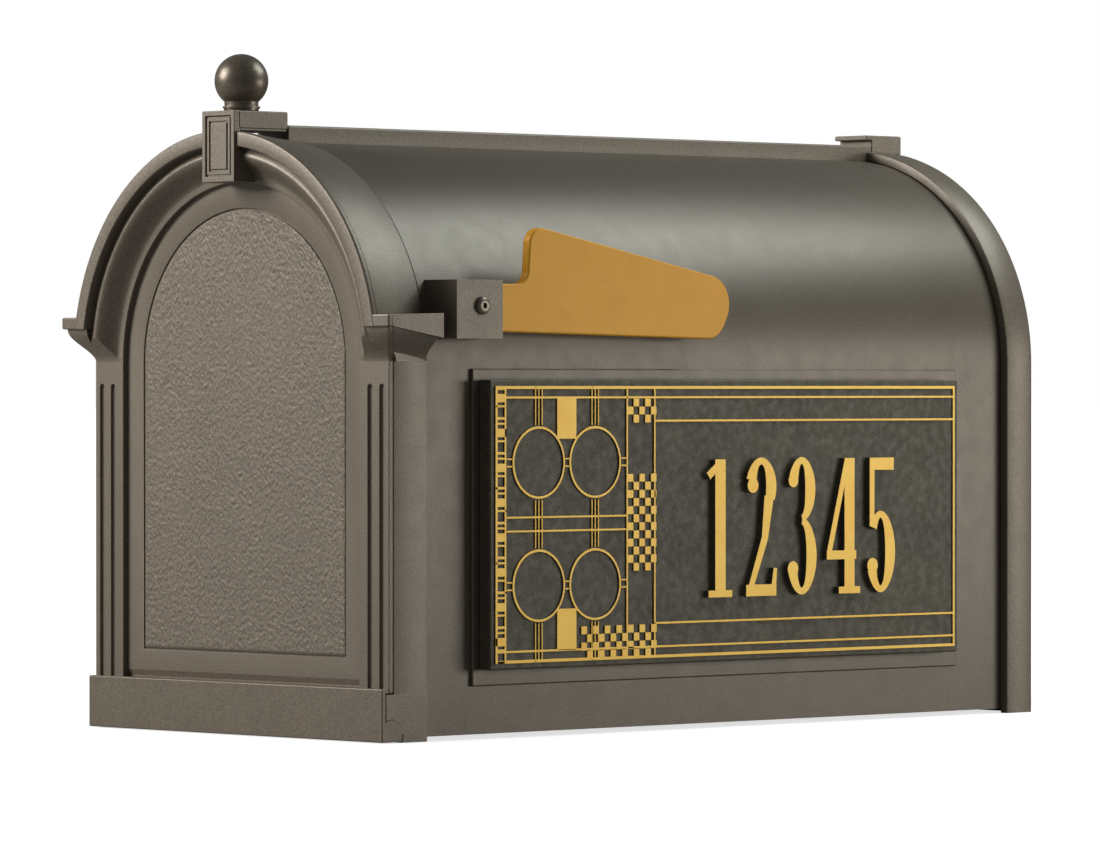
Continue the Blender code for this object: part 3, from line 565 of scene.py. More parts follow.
def stand_out(z):
    """How far the cornice moulding stands out at a height under its fascia."""
    t = (z - CORNICE_Z[0]) / (CORNICE_Z[1] - CORNICE_Z[0])
    return CORNICE_OUT[0] * smoothstep(min(max(t, 0.0), 1.0))


def cornice_front(out):
    return PILASTER_FRONT - FRONT_SHARE * out


def cornice_levels(fascia=True):
    """(z, stand out) up the cornice, with the fascia's edges eased."""
    heights = [CORNICE_Z[0] + OGEE_RISE * i / OGEE_STEPS for i in range(OGEE_STEPS + 1)]
    levels = [(z, stand_out(z)) for z in heights]
    low, top = CORNICE_Z[2:]
    if not fascia:
        return levels + [(low, CORNICE_OUT[0])]
    out = CORNICE_OUT[1]
    levels += [(low - 0.4, CORNICE_OUT[0] + 0.1), (low - 0.2, out - 0.5), (low + 0.3, out)]
    return levels + [(top - 0.7, out), (top - 0.2, out - 0.2), (top, out - 0.8)]


def ogee_air(back):
    """The space in front of the cornice moulding, under its fascia, moved back by some depth."""
    low = CORNICE_Z[0] - 20
    outline = [(AHEAD, low), (PILASTER_FRONT + back, low), (PILASTER_FRONT + back, CORNICE_Z[0] + 0.3)]
    outline += [(cornice_front(out) + back, z) for z, out in cornice_levels(fascia=False)[2:]]
    return prism(outline + [(AHEAD, CORNICE_Z[2])], "x", -ASIDE, ASIDE)


def cove_air(back):
    """The space in front of the cove and of the panel, moved back by some depth."""
    return arch_sweep([(0.5, AHEAD), (0.5, PILASTER_FRONT + back)] + cove(back=back) + [(BAND[0], AHEAD)])


def door_arch():
    hollow = cove(WALL + 0.1, WALL + 0.2)
    front = fillet(
        [
            (PANEL_HALF, PANEL_BACK, 0),
            (PANEL_HALF, PILASTER_FRONT, 0.5),
            (COVE_INNER, PILASTER_FRONT, 0),
        ]
    )
    band = fillet(
        [
            (BAND[0], PILASTER_FRONT - COVE_END, 0),
            (BAND[0], BAND_FRONT, 0.7),
            (BAND[1], BAND_FRONT, 1.1),
            (BAND[1], BAND_FRONT + WALL, 0),
        ]
    )
    back = [(hollow[-1][0], BAND_FRONT + WALL)] + hollow[::-1] + [(hollow[0][0], PANEL_BACK)]
    made = link("door_arch", arch_sweep(front + cove()[1:-1] + band + back))
    combine(made, "DIFFERENCE", [ogee_air(AIR_CLEAR)])
    return keep_creases(made)


def door_cornice(side):
    sections = []
    for z, out in cornice_levels():
        x_out, front = HALF_WIDTH + out, cornice_front(out)
        corner = [(CORNICE_INNER, front, 0), (x_out, front, 0.9)]
        corner += [(x_out, front + WALL, 0), (CORNICE_INNER, front + WALL, 0)]
        sections.append([(side * x, y, z) for x, y in fillet(corner)])
    made = link(sided("door_cornice", side), loft(sections))
    inner_end = box(span(side, 90.0, 117.0), (AHEAD, -5.0), (CORNICE_Z[2], CORNICE_Z[3] + 5))
    combine(made, "DIFFERENCE", [cove_air(AIR_CLEAR), inner_end])
    return keep_creases(made, 15)


def flute(side, centre):
    """The solid that cuts one flute: straight, with a round upper end."""
    x, half, foot = side * centre, FLUTE_HALF, PLINTH_TOP - 1.0
    outline = [(x + half, foot)]
    outline += [around(x, FLUTE_TOP, half, math.pi * i / 16) for i in range(17)]
    outline.append((x - half, foot))
    return prism(outline, "y", PILASTER_FRONT - 5, PILASTER_FRONT + FLUTE_DEPTH)


def door_pilaster(side):
    low = PLINTH_TOP - 2.0
    back = PILASTER_FRONT + WALL
    outline = [(PANEL_HALF, PANEL_BACK), (PANEL_HALF, PILASTER_FRONT), (HALF_WIDTH, PILASTER_FRONT)]
    outline += [(HALF_WIDTH, back), (PILASTER_INNER, back), (PILASTER_INNER, PANEL_BACK)]
    points = [(side * x, y) for x, y in outline]
    made = link(sided("door_pilaster", side), prism(points, "z", low, CORNICE_Z[0] + 1.2))
    combine(made, "DIFFERENCE", [flute(side, centre) for centre in FLUTE_CENTRES])
    return soften(made, 0.5)


def door_panel():
    """The smooth border round the field, with an eased edge, on a backing plate."""
    rim = arch_rim(
        (PANEL_HALF + PANEL_LAP, PLINTH_TOP + 4.0),
        (FIELD_HALF + GROOVE, FIELD_BOTTOM - GROOVE),
        [(PANEL_FRONT, 0.55), (PANEL_FRONT + 0.12, 0.2), (PANEL_FRONT + 0.5, 0.0), (PANEL_FRONT + 2.0, 0.0)],
    )
    backing = arch_prism(PANEL_HALF + PANEL_LAP, PLINTH_TOP - 2.7, PANEL_FRONT + 1.3, PANEL_BACK)
    foot = PLINTH_TOP - 1
    outline = [(PANEL_FRONT, SPLAY_TOP), (PANEL_FRONT + 2.0, foot)]
    outline += [(PANEL_BACK, foot), (PANEL_BACK, SPLAY_TOP)]
    splay = prism(outline, "x", -PANEL_HALF - 1, PANEL_HALF + 1)
    made = link("door_panel", merged([rim, backing, splay]))
    return keep_creases(made)


GRAIN_LEAN = 24
COARSE_DEPTH = 0.25
BROAD_DEPTH = 0.06
FIELD_FADE = 1.5


def grain(x, z):
    """Height of the embossed grain: short ridges that lean to the left, in millimetres."""
    lean = math.radians(GRAIN_LEAN)
    across = x * math.cos(lean) + z * math.sin(lean)
    along = -x * math.sin(lean) + z * math.cos(lean)
    coarse = noise.noise((across / 1.2, along / 2.3, 3.1))
    broad = noise.noise((across / 2.6 + 20, along / 4.0, 8.4))
    return COARSE_DEPTH * coarse + BROAD_DEPTH * broad


def door_field():
    """The embossed field: a fine grid pushed in and out by the grain, with its edge turned back."""
    columns, rise, turn = 240, 230, 130
    rows = [FIELD_BOTTOM + (ARCH_Z - FIELD_BOTTOM) * i / rise for i in range(rise)]
    rows += [ARCH_Z + FIELD_HALF * math.sin(math.pi / 2 * i / turn) for i in range(turn)]
    bm = bmesh.new()
    grid = []
    for z in rows:
        half = FIELD_HALF if z <= ARCH_Z else math.sqrt(FIELD_HALF**2 - (z - ARCH_Z) ** 2)
        line = []
        for i in range(columns + 1):
            x = half * (2 * i / columns - 1)
            edge = min(half - abs(x), z - FIELD_BOTTOM)
            fade = min(max(edge / FIELD_FADE, 0.0), 1.0)
            y = PANEL_FRONT + 0.05 - grain(x, z) * fade + 0.35 * (1 - fade) ** 2
            line.append(bm.verts.new((x, y, z)))
        grid.append(line)
    for lower, upper in zip(grid, grid[1:]):
        for i in range(columns):
            bm.faces.new((lower[i], lower[i + 1], upper[i + 1], upper[i]))
    rim = grid[0] + [line[-1] for line in grid[1:]] + grid[-1][-2:0:-1] + [line[0] for line in grid[:0:-1]]
    back = [bm.verts.new((vert.co.x, PANEL_FRONT + 1.6, vert.co.z)) for vert in rim]
    bridge(bm, [rim, back])
    bm.faces.new(back[::-1])
    made = link("door_field", bm)
    return keep_creases(made, 60)


def door_plinth():
    """The plinth's face, and two ledges behind its top that carry the pilasters and the panel."""
    half = HALF_WIDTH - 0.4
    face = box((-HALF_WIDTH, HALF_WIDTH), (PLINTH_FRONT, PLINTH_FRONT + WALL), (PLINTH_LOW, PLINTH_TOP))
    ledge = box((-half, half), (-5.0, PILASTER_FRONT + WALL), (26.0, PLINTH_TOP - 0.02))
    middle = box((-PILASTER_INNER, PILASTER_INNER), (-5.0, PANEL_BACK), (26.2, PLINTH_TOP - 0.04))
    made = link("door_plinth", merged([face, ledge, middle]))
    return soften(made, 0.7)


def door_knuckle(side):
    """The hinge knuckle behind each end of the plinth, round at the back."""
    turn = [math.radians(-28.4 + 167.0 * i / 32) for i in range(33)]
    outline = [(-6.0, PLINTH_LOW)] + [around(0, HINGE_Z, KNUCKLE_RADIUS, angle) for angle in turn]
    width = span(side, KNUCKLE_INNER, HALF_WIDTH - 0.02)
    made = link(sided("door_knuckle", side), prism(outline, "x", *width))
    return soften(made, 0.4, angle=45)


def keystone():
    """The key of the arch: a sunk panel with a raised bead and a raised centre."""
    front, half = KEY_FRONT, KEY_HALF
    low, foot_top, high = KEY_Z
    rim, bead_width, inset = 2.8, 1.6, 2.7
    made = link("keystone", box((-half, half), (front, KEY_REAR), (low, foot_top)))
    combine(made, "UNION", [box((-half, half), (front, KEY_UPPER_REAR), (low, high))])
    sunk = box((rim - half, half - rim), (front - 5, front + 1.3), (low + rim + 0.3, high - rim))
    combine(made, "DIFFERENCE", [sunk])
    soften(made, 0.45)
    bars = []
    x_out, z_low, z_high = half - rim - 1.1, low + rim + 1.4, high - rim - 1.1
    for x, z in (
        ((-x_out, x_out), (z_low, z_low + bead_width)),
        ((-x_out, x_out), (z_high - bead_width, z_high)),
        ((-x_out, bead_width - x_out), (z_low, z_high)),
        ((x_out - bead_width, x_out), (z_low, z_high)),
    ):
        bars.append(box(x, (front + 0.35, front + 2), z))
    bead = link("keystone_bead", bars[0])
    combine(bead, "UNION", bars[1:])
    soften(bead, 0.35)
    inner = x_out - inset
    middle = box((-inner, inner), (front + 0.3, front + 2), (z_low + inset, z_high - inset))
    centre = link("keystone_centre", middle)
    soften(centre, 0.4)
    block = link("keystone_block", box((-half, half), BLOCK_Y, (BLOCK_BOTTOM, high)))
    soften(block, 0.8)
    lip = link("keystone_lip", box((-half + 0.5, half - 0.5), (-12.0, 21.2), (325.9, 327.6)))
    soften(lip, 0.4)
    return [made, bead, centre, block, lip]


def finial():
    low, high = cad("finial_ball")
    radius = (high.x - low.x) / 2
    centre = high.z - radius
    collar, neck = 10.2, 9.1
    profile = [(0, low.z), (9.4, low.z)]
    steps = [(collar, 0.0, 0.3), (collar, 1.7, 0.5), (neck, 2.4, 0.4), (neck, 4.2, 0)]
    profile += fillet([(r, low.z + rise, round_by) for r, rise, round_by in steps])[:-1]
    start = math.asin((low.z + 4.9 - centre) / radius)
    turn = [start + (math.pi / 2 - start) * i / 48 for i in range(48)]
    profile += [around(0, centre, radius, angle) for angle in turn] + [(0, high.z)]
    made = link("finial", turned(profile, 96))
    return keep_creases(made, 40)


def build_door():
    body = "door"
    finish_piece(door_plinth(), body, bronze, ("door_casting",))
    pieces = [door_arch(), door_panel()] + keystone()
    pieces += [make(side) for make in (door_cornice, door_pilaster, door_knuckle) for side in (1, -1)]
    for piece in pieces:
        finish_piece(piece, body, bronze)
    finish_piece(door_field(), body, field_look)
    finish_piece(finial(), body, bronze_ball, ("finial_ball",))


# Housing ------------------------------------------------------------------------------


SHELL_WALL = 3.0
PAD_Y = (57.4, 435.6)
PAD_Z = (28.2, 197.7)
OPENING_HALF = 105.0
LAND_Y = (4.6, 8.0)
FRAME_NOSE = -11.5
FRAME_REAR = 25.3
HOOD_INNER = 120.2
SPIGOT = (112.7, 116.2)
SPIGOT_REAR = 45.0
EAR_RADIUS = 3.7
EAR_REAR = 8.0
EAR_INNER = 103.0
FOOT_INNER = 109.4
FOOT_TOP = 25.6
FOOT_HOLLOW = 8.4
PIN_HOLE = 1.9
CAP_FRONT = 475.0
CAP_REAR = 498.0
CAP_WALL = 5.0
CROWN_HALF = 13.0
BRACKET_PLATE = 2.8
BRACKET_WEB = 3.0
BRACKET_FOOT = 124.0
PIVOT_HOLE = 2.9
SOCKET_RADIUS = 1.75
SOCKET_DEPTH = 1.5


def frame_arch():
    """The hood over the shell's front edge, the land behind the door and the spigot in the shell."""
    profile = fillet(
        [
            (124.0, FRAME_NOSE, 0.6),
            (120.5, FRAME_REAR, 1.6),
            (SPIGOT[1], FRAME_REAR, 0),
            (SPIGOT[1], SPIGOT_REAR, 0.5),
            (SPIGOT[0], SPIGOT_REAR, 0.5),
            (SPIGOT[0], LAND_Y[1], 0),
            (OPENING_HALF, LAND_Y[1], 0.6),
            (OPENING_HALF, LAND_Y[0], 0.6),
            (HOOD_INNER, LAND_Y[0], 0),
            (HOOD_INNER, FRAME_NOSE, 0.6),
        ]
    )
    made = link("frame_arch", arch_sweep(profile))
    combine(made, "DIFFERENCE", [ogee_air(WALL + PARTING + 0.1)])
    return keep_creases(made)


def frame_cornice(side):
    """The cornice's return along the side, behind the door's share of it, with its fascia wedge."""
    inner = 118.0
    sections = []
    for z, out in cornice_levels(fascia=False):
        front = cornice_front(out) + WALL + PARTING
        x_out, rear = HALF_WIDTH + out, CORNICE_REAR
        corner = [(inner, front, 0), (x_out, front, 0.5), (x_out, rear, 1.0), (inner, rear, 0)]
        sections.append([(side * x, y, z) for x, y in fillet(corner)])
    made = link(sided("frame_cornice", side), loft(sections))
    front = cornice_front(CORNICE_OUT[1]) + WALL + PARTING
    outline = [(front, CORNICE_Z[2]), (CORNICE_REAR, CORNICE_REAR_Z[0])]
    outline += [(CORNICE_REAR, CORNICE_REAR_Z[1]), (front, CORNICE_Z[3])]
    combine(made, "UNION", [prism(outline, "x", *span(side, 116.0, HALF_WIDTH + CORNICE_OUT[1]))])
    over_door = arch_prism(120.3, 150.0, -60.0, LAND_Y[0])
    over_shell = arch_prism(118.5, 150.0, 0.0, 60.0)
    combine(made, "DIFFERENCE", [over_door, over_shell])
    return soften(made, 0.45, angle=45)


def frame_leg(side):
    outline = fillet(
        [
            (OPENING_HALF, 1.4, 0.6),
            (HALF_WIDTH - CLEAR, 1.4, 0.4),
            (HALF_WIDTH - CLEAR, FRAME_REAR - CLEAR, 0.5),
            (SPIGOT[1], FRAME_REAR - CLEAR, 0),
            (SPIGOT[1], SPIGOT_REAR, 0.5),
            (SPIGOT[0], SPIGOT_REAR, 0.5),
            (SPIGOT[0], LAND_Y[1], 0),
            (OPENING_HALF, LAND_Y[1], 0.6),
        ]
    )
    points = [(side * x, y) for x, y in outline]
    made = link(sided("frame_leg", side), prism(points, "z", 5.0, ARCH_Z + 0.3))
    return keep_creases(made)


def frame_foot(side):
    """The plinth's return on the side, hollowed for the door's knuckle, with the hinge ear beside it."""
    turn = [math.radians(116.1 - 146.1 * i / 28) for i in range(29)]
    outline = [(-EAR_RADIUS, FOOT_TOP)] + [around(0, HINGE_Z, FOOT_HOLLOW, angle) for angle in turn]
    outline += [(7.28, 0.0), (FRAME_REAR, 0.0), (FRAME_REAR, FOOT_TOP)]
    foot = link(sided("frame_foot", side), prism(outline, "x", *span(side, FOOT_INNER, HALF_WIDTH)))
    soften(foot, 0.4, angle=50)
    turn = [math.pi + math.pi / 2 * i / 12 for i in range(13)]
    outline = [(EAR_REAR, FOOT_TOP), (-EAR_RADIUS, FOOT_TOP)]
    outline += [around(0, HINGE_Z, EAR_RADIUS, angle) for angle in turn]
    outline.append((EAR_REAR, HINGE_Z - EAR_RADIUS))
    ear = link(sided("hinge_ear", side), prism(outline, "x", *span(side, EAR_INNER, FOOT_INNER)))
    combine(ear, "DIFFERENCE", [rod((side * 100.0, 0.0, HINGE_Z), (side, 0, 0), PIN_HOLE, 12.0, 24)])
    keep_creases(ear)
    return [foot, ear]


def frame_sill():
    made = link("frame_sill", box((-106.0, 106.0), LAND_Y, (11.0, 30.0)))
    return soften(made, 0.6)


def shell():
    low, high = cad("body_shell")
    inner = SHELL_RADIUS - SHELL_WALL
    outline = arch_outline(SHELL_RADIUS, low.z) + arch_outline(inner, low.z)[::-1]
    made = link("shell_skin", prism(outline, "y", low.y, high.y))
    keep_creases(made)
    pads = []
    for side in (1, -1):
        pad = link(sided("shell_pad", side), box(span(side, SHELL_RADIUS - 1.0, high.x), PAD_Y, PAD_Z))
        soften(pad, 0.8, 3)
        pads.append(pad)
    return [made] + pads


def rear_cap():
    low, high = cad("rear_cap")
    radius, front, rear = high.x, CAP_FRONT, CAP_REAR
    levels = [(front, -0.9), (front + 0.2, -0.35), (front + 0.9, 0.0)]
    levels += [(rear - 4.0, 0.0), (rear - 1.9, -0.6), (rear - 0.6, -1.9), (rear, -4.0)]
    sections = [[(x, y, z) for x, z in arch_outline(radius + ease, low.z)] for y, ease in levels]
    made = link("rear_cap_shell", loft(sections))
    combine(made, "DIFFERENCE", [arch_prism(radius - CAP_WALL, low.z - 5.0, front - 5.0, rear - CAP_WALL)])
    keep_creases(made)
    width = (-CROWN_HALF, CROWN_HALF)
    block = link("crown_block", box(width, (479.3, high.y), (325.0, high.z)))
    soften(block, 0.8)
    lip = link("crown_lip", box(width, (front, 480.0), (333.0, high.z)))
    soften(lip, 0.6)
    return [made, block, lip]


def ridge_strip():
    low, high = cad("ridge_strip")
    half = high.x
    under = []
    for i in range(9):
        x = half * (1 - i / 4)
        under.append((x, ARCH_Z + math.sqrt((SHELL_RADIUS - 0.5) ** 2 - x * x), 0))
    outline = fillet([(-half, high.z, 1.2), (half, high.z, 1.2)] + under)
    made = link("ridge_cover", prism(outline, "y", low.y, high.y))
    return soften(made, 0.5, angle=45)


def flag_bracket():
    low, high = cad("flag_bracket")
    plate, web, foot = BRACKET_PLATE, BRACKET_WEB, BRACKET_FOOT
    heights = [low.z + (high.z - low.z) * i / 6 for i in range(7)]
    seat = [(math.sqrt((SHELL_RADIUS - 1.0) ** 2 - (z - ARCH_Z) ** 2), z) for z in heights]
    made = link("bracket_plates", box((high.x - plate, high.x), (low.y, high.y), (low.z, high.z)))
    combine(
        made,
        "UNION",
        [
            box((foot - 1.0, high.x - 0.1), (low.y, low.y + web), (low.z, high.z)),
            box((foot - 1.0, high.x - 0.1), (low.y + 0.1, high.y), (low.z, low.z + web)),
            prism([(foot, low.z), (foot, high.z)] + seat[::-1], "y", low.y, high.y),
        ],
    )
    combine(made, "DIFFERENCE", [rod((high.x - 8, PIVOT.y, PIVOT.z), (1, 0, 0), PIVOT_HOLE, 12.0, 32)])
    return soften(made, 0.7)


def pivot_screw():
    """A button-head screw with a hexagon socket."""
    low, high = cad("flag_pivot_screw")
    face = cad("flag_bracket")[1].x + 0.3
    radius = (high.z - low.z) / 2
    head = high.x - face
    tip, shank = low.x - high.x + head, 2.5
    profile = [(0, tip), (shank, tip), (shank, 0), (radius, 0), (radius, 0.5)]
    for i in range(1, 13):
        angle = math.pi / 2 * i / 12
        profile.append((radius - 2.2 * (1 - math.cos(angle)), 0.5 + (head - 0.5) * math.sin(angle)))
    profile.append((0, head))
    made = link("pivot_screw", aimed(turned(profile, 48), (face, PIVOT.y, PIVOT.z), (1, 0, 0)))
    hexagon = [around(PIVOT.y, PIVOT.z, SOCKET_RADIUS, math.radians(60 * i + 15)) for i in range(6)]
    combine(made, "DIFFERENCE", [prism(hexagon, "x", high.x - SOCKET_DEPTH, high.x + 3)])
    return keep_creases(made)


def build_housing():
    body = "housing"
    replaced = {
        "frame_arch": ("front_frame",),
        "shell_skin": ("body_shell",),
        "rear_cap_shell": ("rear_cap",),
        "ridge_cover": ("ridge_strip",),
        "bracket_plates": ("flag_bracket",),
        "pivot_screw": ("flag_pivot_screw",),
    }
    pieces = [frame_arch(), frame_sill(), ridge_strip(), flag_bracket(), pivot_screw()] + shell() + rear_cap()
    pieces += [make(side) for make in (frame_cornice, frame_leg) for side in (1, -1)]
    pieces += frame_foot(1) + frame_foot(-1)
    for piece in pieces:
        look = bronze
        if piece.name.startswith("shell_"):
            look = bronze_sheet
        elif piece.name == "pivot_screw":
            look = bronze_ball
        finish_piece(piece, body, look, replaced.get(piece.name, ()))


# Flag ---------------------------------------------------------------------------------


HUB_RADIUS = 13.5


def build_flag():
    low, high = cad("flag_blade")
    corners = [
        (PIVOT.y, PIVOT.z - HUB_RADIUS, 0),
        (231.5, 214.0, 14.0),
        (248.0, 245.0, 16.0),
        (88.5, 275.0, 9.0),
        (86.5, 243.0, 8.0),
        (66.0, 243.0, 0),
    ]
    hub = [math.radians(60 + 210 * i / 25) for i in range(25)]
    outline = fillet(corners, 14) + [around(PIVOT.y, PIVOT.z, HUB_RADIUS, angle) for angle in hub]
    made = link("signal_flag", prism(outline, "x", low.x, high.x))
    soften(made, 1.1, 4)
    finish_piece(made, "flag", flag_gold, ("flag_blade",))


# Plaque -------------------------------------------------------------------------------

TRIM_LOW = (64.6, 40.2)
TRIM_HIGH = (423.4, 188.5)
TRIM_PROUD = 0.8
BORDER = 1.7
STRIP_WIDTH = 8.0
COLUMN_Y = (162.0, 183.0)
CELL = 4.4
RING_Y = (96.5, 138.5)
RING_Z = (81.4, 147.4)
RING_RADIUS = 19.5
RING_WIDTH = 1.5
RING_STEPS = 64
STEM_HALF = 0.45


def two_tone(obj, face_look, side_look):
    """Paints the faces that look outwards (+x) and leaves the sides in the other finish."""
    obj.data.materials.clear()
    obj.data.materials.append(side_look)
    obj.data.materials.append(face_look)
    for polygon in obj.data.polygons:
        polygon.material_index = 1 if polygon.normal.x > 0.9 else 0


def trim_bars():
    """The plaque's raised lines as (y0, z0, y1, z1): a border, a square grid and checkers."""
    y0, z0 = TRIM_LOW
    y1, z1 = TRIM_HIGH
    line = BORDER
    bars = [(y0, z0, y1, z0 + line), (y0, z1 - line, y1, z1)]
    bars += [(y0, z0, y0 + line, z1), (y1 - line, z0, y1, z1)]
    bars += [(y0, z, y1, z + 1.2) for z in (z0 + 5.6, z1 - 6.8)]
    bars += [(COLUMN_Y[1], z, y1, z + 1.2) for z in (z0 + 18.4, z1 - 19.6)]
    strip = y0 + STRIP_WIDTH
    bars.append((strip - 1.4, z0, strip, z1))
    for i in range(16):
        z = z0 + 9.3 * i
        bars.append((y0, z, strip, z + (4.6 if i % 2 else 1.5)))
        bars.append((y0, z + 6.6, strip, z + 7.8))
    for y in COLUMN_Y:
        bars.append((y, z0, y + 1.3, z1))
    middle = (z0 + z1) / 2
    for z in (middle - 4.2, middle + 3.2):
        bars.append((strip, z, COLUMN_Y[0], z + 1.1))
    for y in RING_Y:
        for shift in (-2.4, 0.0, 2.4):
            left, right = y + shift - STEM_HALF, y + shift + STEM_HALF
            bars.append((left, z0, right, middle - 53.0))
            bars.append((left, middle + 53.0, right, z1))
            bars.append((left, middle - 13.0, right, middle + 13.0))
    for z in (middle - 33.0, middle + 33.0):
        for shift in (-2.0, 2.0):
            under, over = z + shift - STEM_HALF, z + shift + STEM_HALF
            bars.append((116.0, under, 119.0, over))
            bars.append((158.0, under, COLUMN_Y[0], over))
            bars.append((strip, under, 77.0, over))
    bars += [(110.0, 160.0, 124.5, z1 - 6.0), (110.0, z0 + 6.0, 124.5, 68.7)]
    bars += checkers(COLUMN_Y[0] + 1.0, middle - 26.4, CELL, 5, 12)
    bars += checkers(COLUMN_Y[0] + 1.0, z1 - 20.0, CELL, 5, 3)
    bars += checkers(128.0, z0 + 1.0, CELL, 13, 4)
    return bars


def checkers(y, z, cell, columns, rows):
    """Every other cell of a grid that starts at (y, z)."""
    return [
        (y + cell * i, z + cell * j, y + cell * (i + 1), z + cell * (j + 1))
        for i in range(columns)
        for j in range(rows)
        if (i + j) % 2
    ]


def ring(y, z, radius, width, back, face):
    """A raised flat ring, square in section."""
    turn = [math.pi * i / (RING_STEPS // 2) for i in range(RING_STEPS)]
    sections = []
    for r, x in ((radius, back), (radius, face), (radius - width, face), (radius - width, back)):
        sections.append([(x, *around(y, z, r, angle)) for angle in turn])
    bm = bmesh.new()
    rings = [[bm.verts.new(point) for point in section] for section in sections]
    bridge(bm, rings + rings[:1])
    return bm


def build_plaque():
    low, high = cad("side_plaque")
    face = high.x
    board = link("plaque_board", box((low.x, face), (low.y, high.y), (low.z, high.z)))
    soften(board, 1.0, 3)
    finish_piece(board, "housing", plaque_look, ("side_plaque",))
    solids = []
    for number, (y_low, z_low, y_high, z_high) in enumerate(trim_bars()):
        proud = face + TRIM_PROUD + 0.006 * (number % 9)
        solids.append(box((face - 0.5, proud), (y_low, y_high), (z_low, z_high)))
    for y in RING_Y:
        for z in RING_Z:
            solids.append(ring(y, z, RING_RADIUS, RING_WIDTH, face - 0.5, face + TRIM_PROUD + 0.06))
    trim = link("plaque_trim", merged(solids))
    finish_piece(trim, "housing", gold)
    two_tone(trim, gold, plaque_look)
    soften(trim, 0.2, 1)


DIGIT_START_Y = 220.0
DIGIT_PITCH = 32.0
DIGIT_ASPECT = 24.0 / 77.4


def stroke(points, widths):
    """A pen stroke as a (u, v) outline: a line through the points with a width at each one."""
    left, right = [], []
    for i, (u, v) in enumerate(points):
        ahead = Vector(points[min(i + 1, len(points) - 1)])
        behind = Vector(points[max(i - 1, 0)])
        along = (ahead - behind).normalized()
        across = Vector((-along.y, along.x)) * widths[i] / 2
        left.append((u + across.x, v + across.y))
        right.append((u - across.x, v - across.y))
    return left + right[::-1]


def bowl(centre, reach, start, end, thin, thick, steps=36):
    """An elliptical stroke between two angles in degrees, thick at its sides and thin at its ends."""
    points, widths = [], []
    for i in range(steps + 1):
        angle = math.radians(start + (end - start) * i / steps)
        points.append((centre[0] + reach[0] * math.cos(angle), centre[1] + reach[1] * math.sin(angle)))
        widths.append(thin + (thick - thin) * math.cos(angle) ** 2)
    return stroke(points, widths)


def slab(u0, v0, u1, v1):
    return [(u0, v0), (u1, v0), (u1, v1), (u0, v1)]


def disc(u, v, radius):
    return [around(u, v, radius, math.pi * i / 16) for i in range(32)]


def digit_strokes(digit, w):
    """The strokes of a narrow upright numeral, on a body one unit tall and w wide."""
    thin, thick = 0.05, 0.105
    mid = w / 2
    if digit == 1:
        return [
            slab(mid - thick / 2, 0.01, mid + thick / 2, 0.99),
            slab(mid - 0.12, 0.0, mid + 0.12, thin),
            stroke([(mid, 0.965), (mid - 0.12, 0.87)], [thin, thin * 1.2]),
        ]
    if digit == 2:
        return [
            bowl((mid, 0.79), (mid - thick / 2, 0.185), 165, -28, thin, thick),
            stroke([(w - 0.075, 0.72), (w * 0.62, 0.42), (0.035, 0.03)], [thick * 0.9, thin * 1.3, thin]),
            slab(0.0, 0.0, w, thick * 0.8),
            stroke([(w - 0.01, 0.2), (w - 0.03, 0.04)], [thin * 0.7, thin]),
            disc(0.07, 0.8, 0.055),
        ]
    if digit == 3:
        return [
            bowl((mid, 0.765), (mid - thick * 0.62, 0.21), 155, -88, thin, thick),
            bowl((mid, 0.28), (mid - thick / 2, 0.255), 88, -155, thin, thick),
            disc(0.07, 0.83, 0.05),
            disc(0.065, 0.19, 0.055),
        ]
    if digit == 4:
        return [
            slab(w * 0.6, 0.01, w * 0.6 + thick, 0.99),
            stroke([(w * 0.68, 0.97), (0.025, 0.3)], [thin, thin]),
            slab(0.0, 0.25, w, 0.25 + thin * 1.3),
            slab(w * 0.6 - 0.06, 0.0, w * 0.6 + thick + 0.06, thin),
        ]
    return [
        slab(0.035, 0.5, 0.035 + thin, 0.99),
        slab(0.035, 0.9, w - 0.02, 0.99),
        bowl((mid - 0.005, 0.3), (mid - thick / 2, 0.275), 140, -152, thin, thick),
        disc(0.065, 0.2, 0.055),
    ]


def build_digits():
    tall = cad("digit_1")[1].z - cad("digit_1")[0].z
    for digit in range(1, 6):
        node = f"digit_{digit}"
        low, high = cad(node)
        base_y, base_z = DIGIT_START_Y + DIGIT_PITCH * (digit - 1), low.z
        solids = []
        for depth, outline in enumerate(digit_strokes(digit, DIGIT_ASPECT)):
            scaled = [(base_y + u * tall, base_z + v * tall) for u, v in outline]
            solids.append(prism(scaled, "x", low.x - 0.5, high.x - 0.004 * depth))
        made = link(f"numeral_{digit}", solids[0])
        combine(made, "UNION", solids[1:])
        finish_piece(made, "housing", gold, (node,))
        two_tone(made, gold, plaque_look)
        soften(made, 0.45, 2, 50)


# CAD nodes that stay ------------------------------------------------------------------


def dress_cad_nodes():
    for name, node in frame["nodes"].items():
        if node.hide_render:
            continue
        look = steel
        if name == "floor_pan":
            look = bronze_floor
        elif name == "catch_magnet":
            look = magnet_look
        node.data.materials.clear()
        node.data.materials.append(look)
        if name in ("floor_pan", "catch_bracket", "catch_magnet", "strike_plate"):
            soften(node, 0.35)


# Studio -------------------------------------------------------------------------------


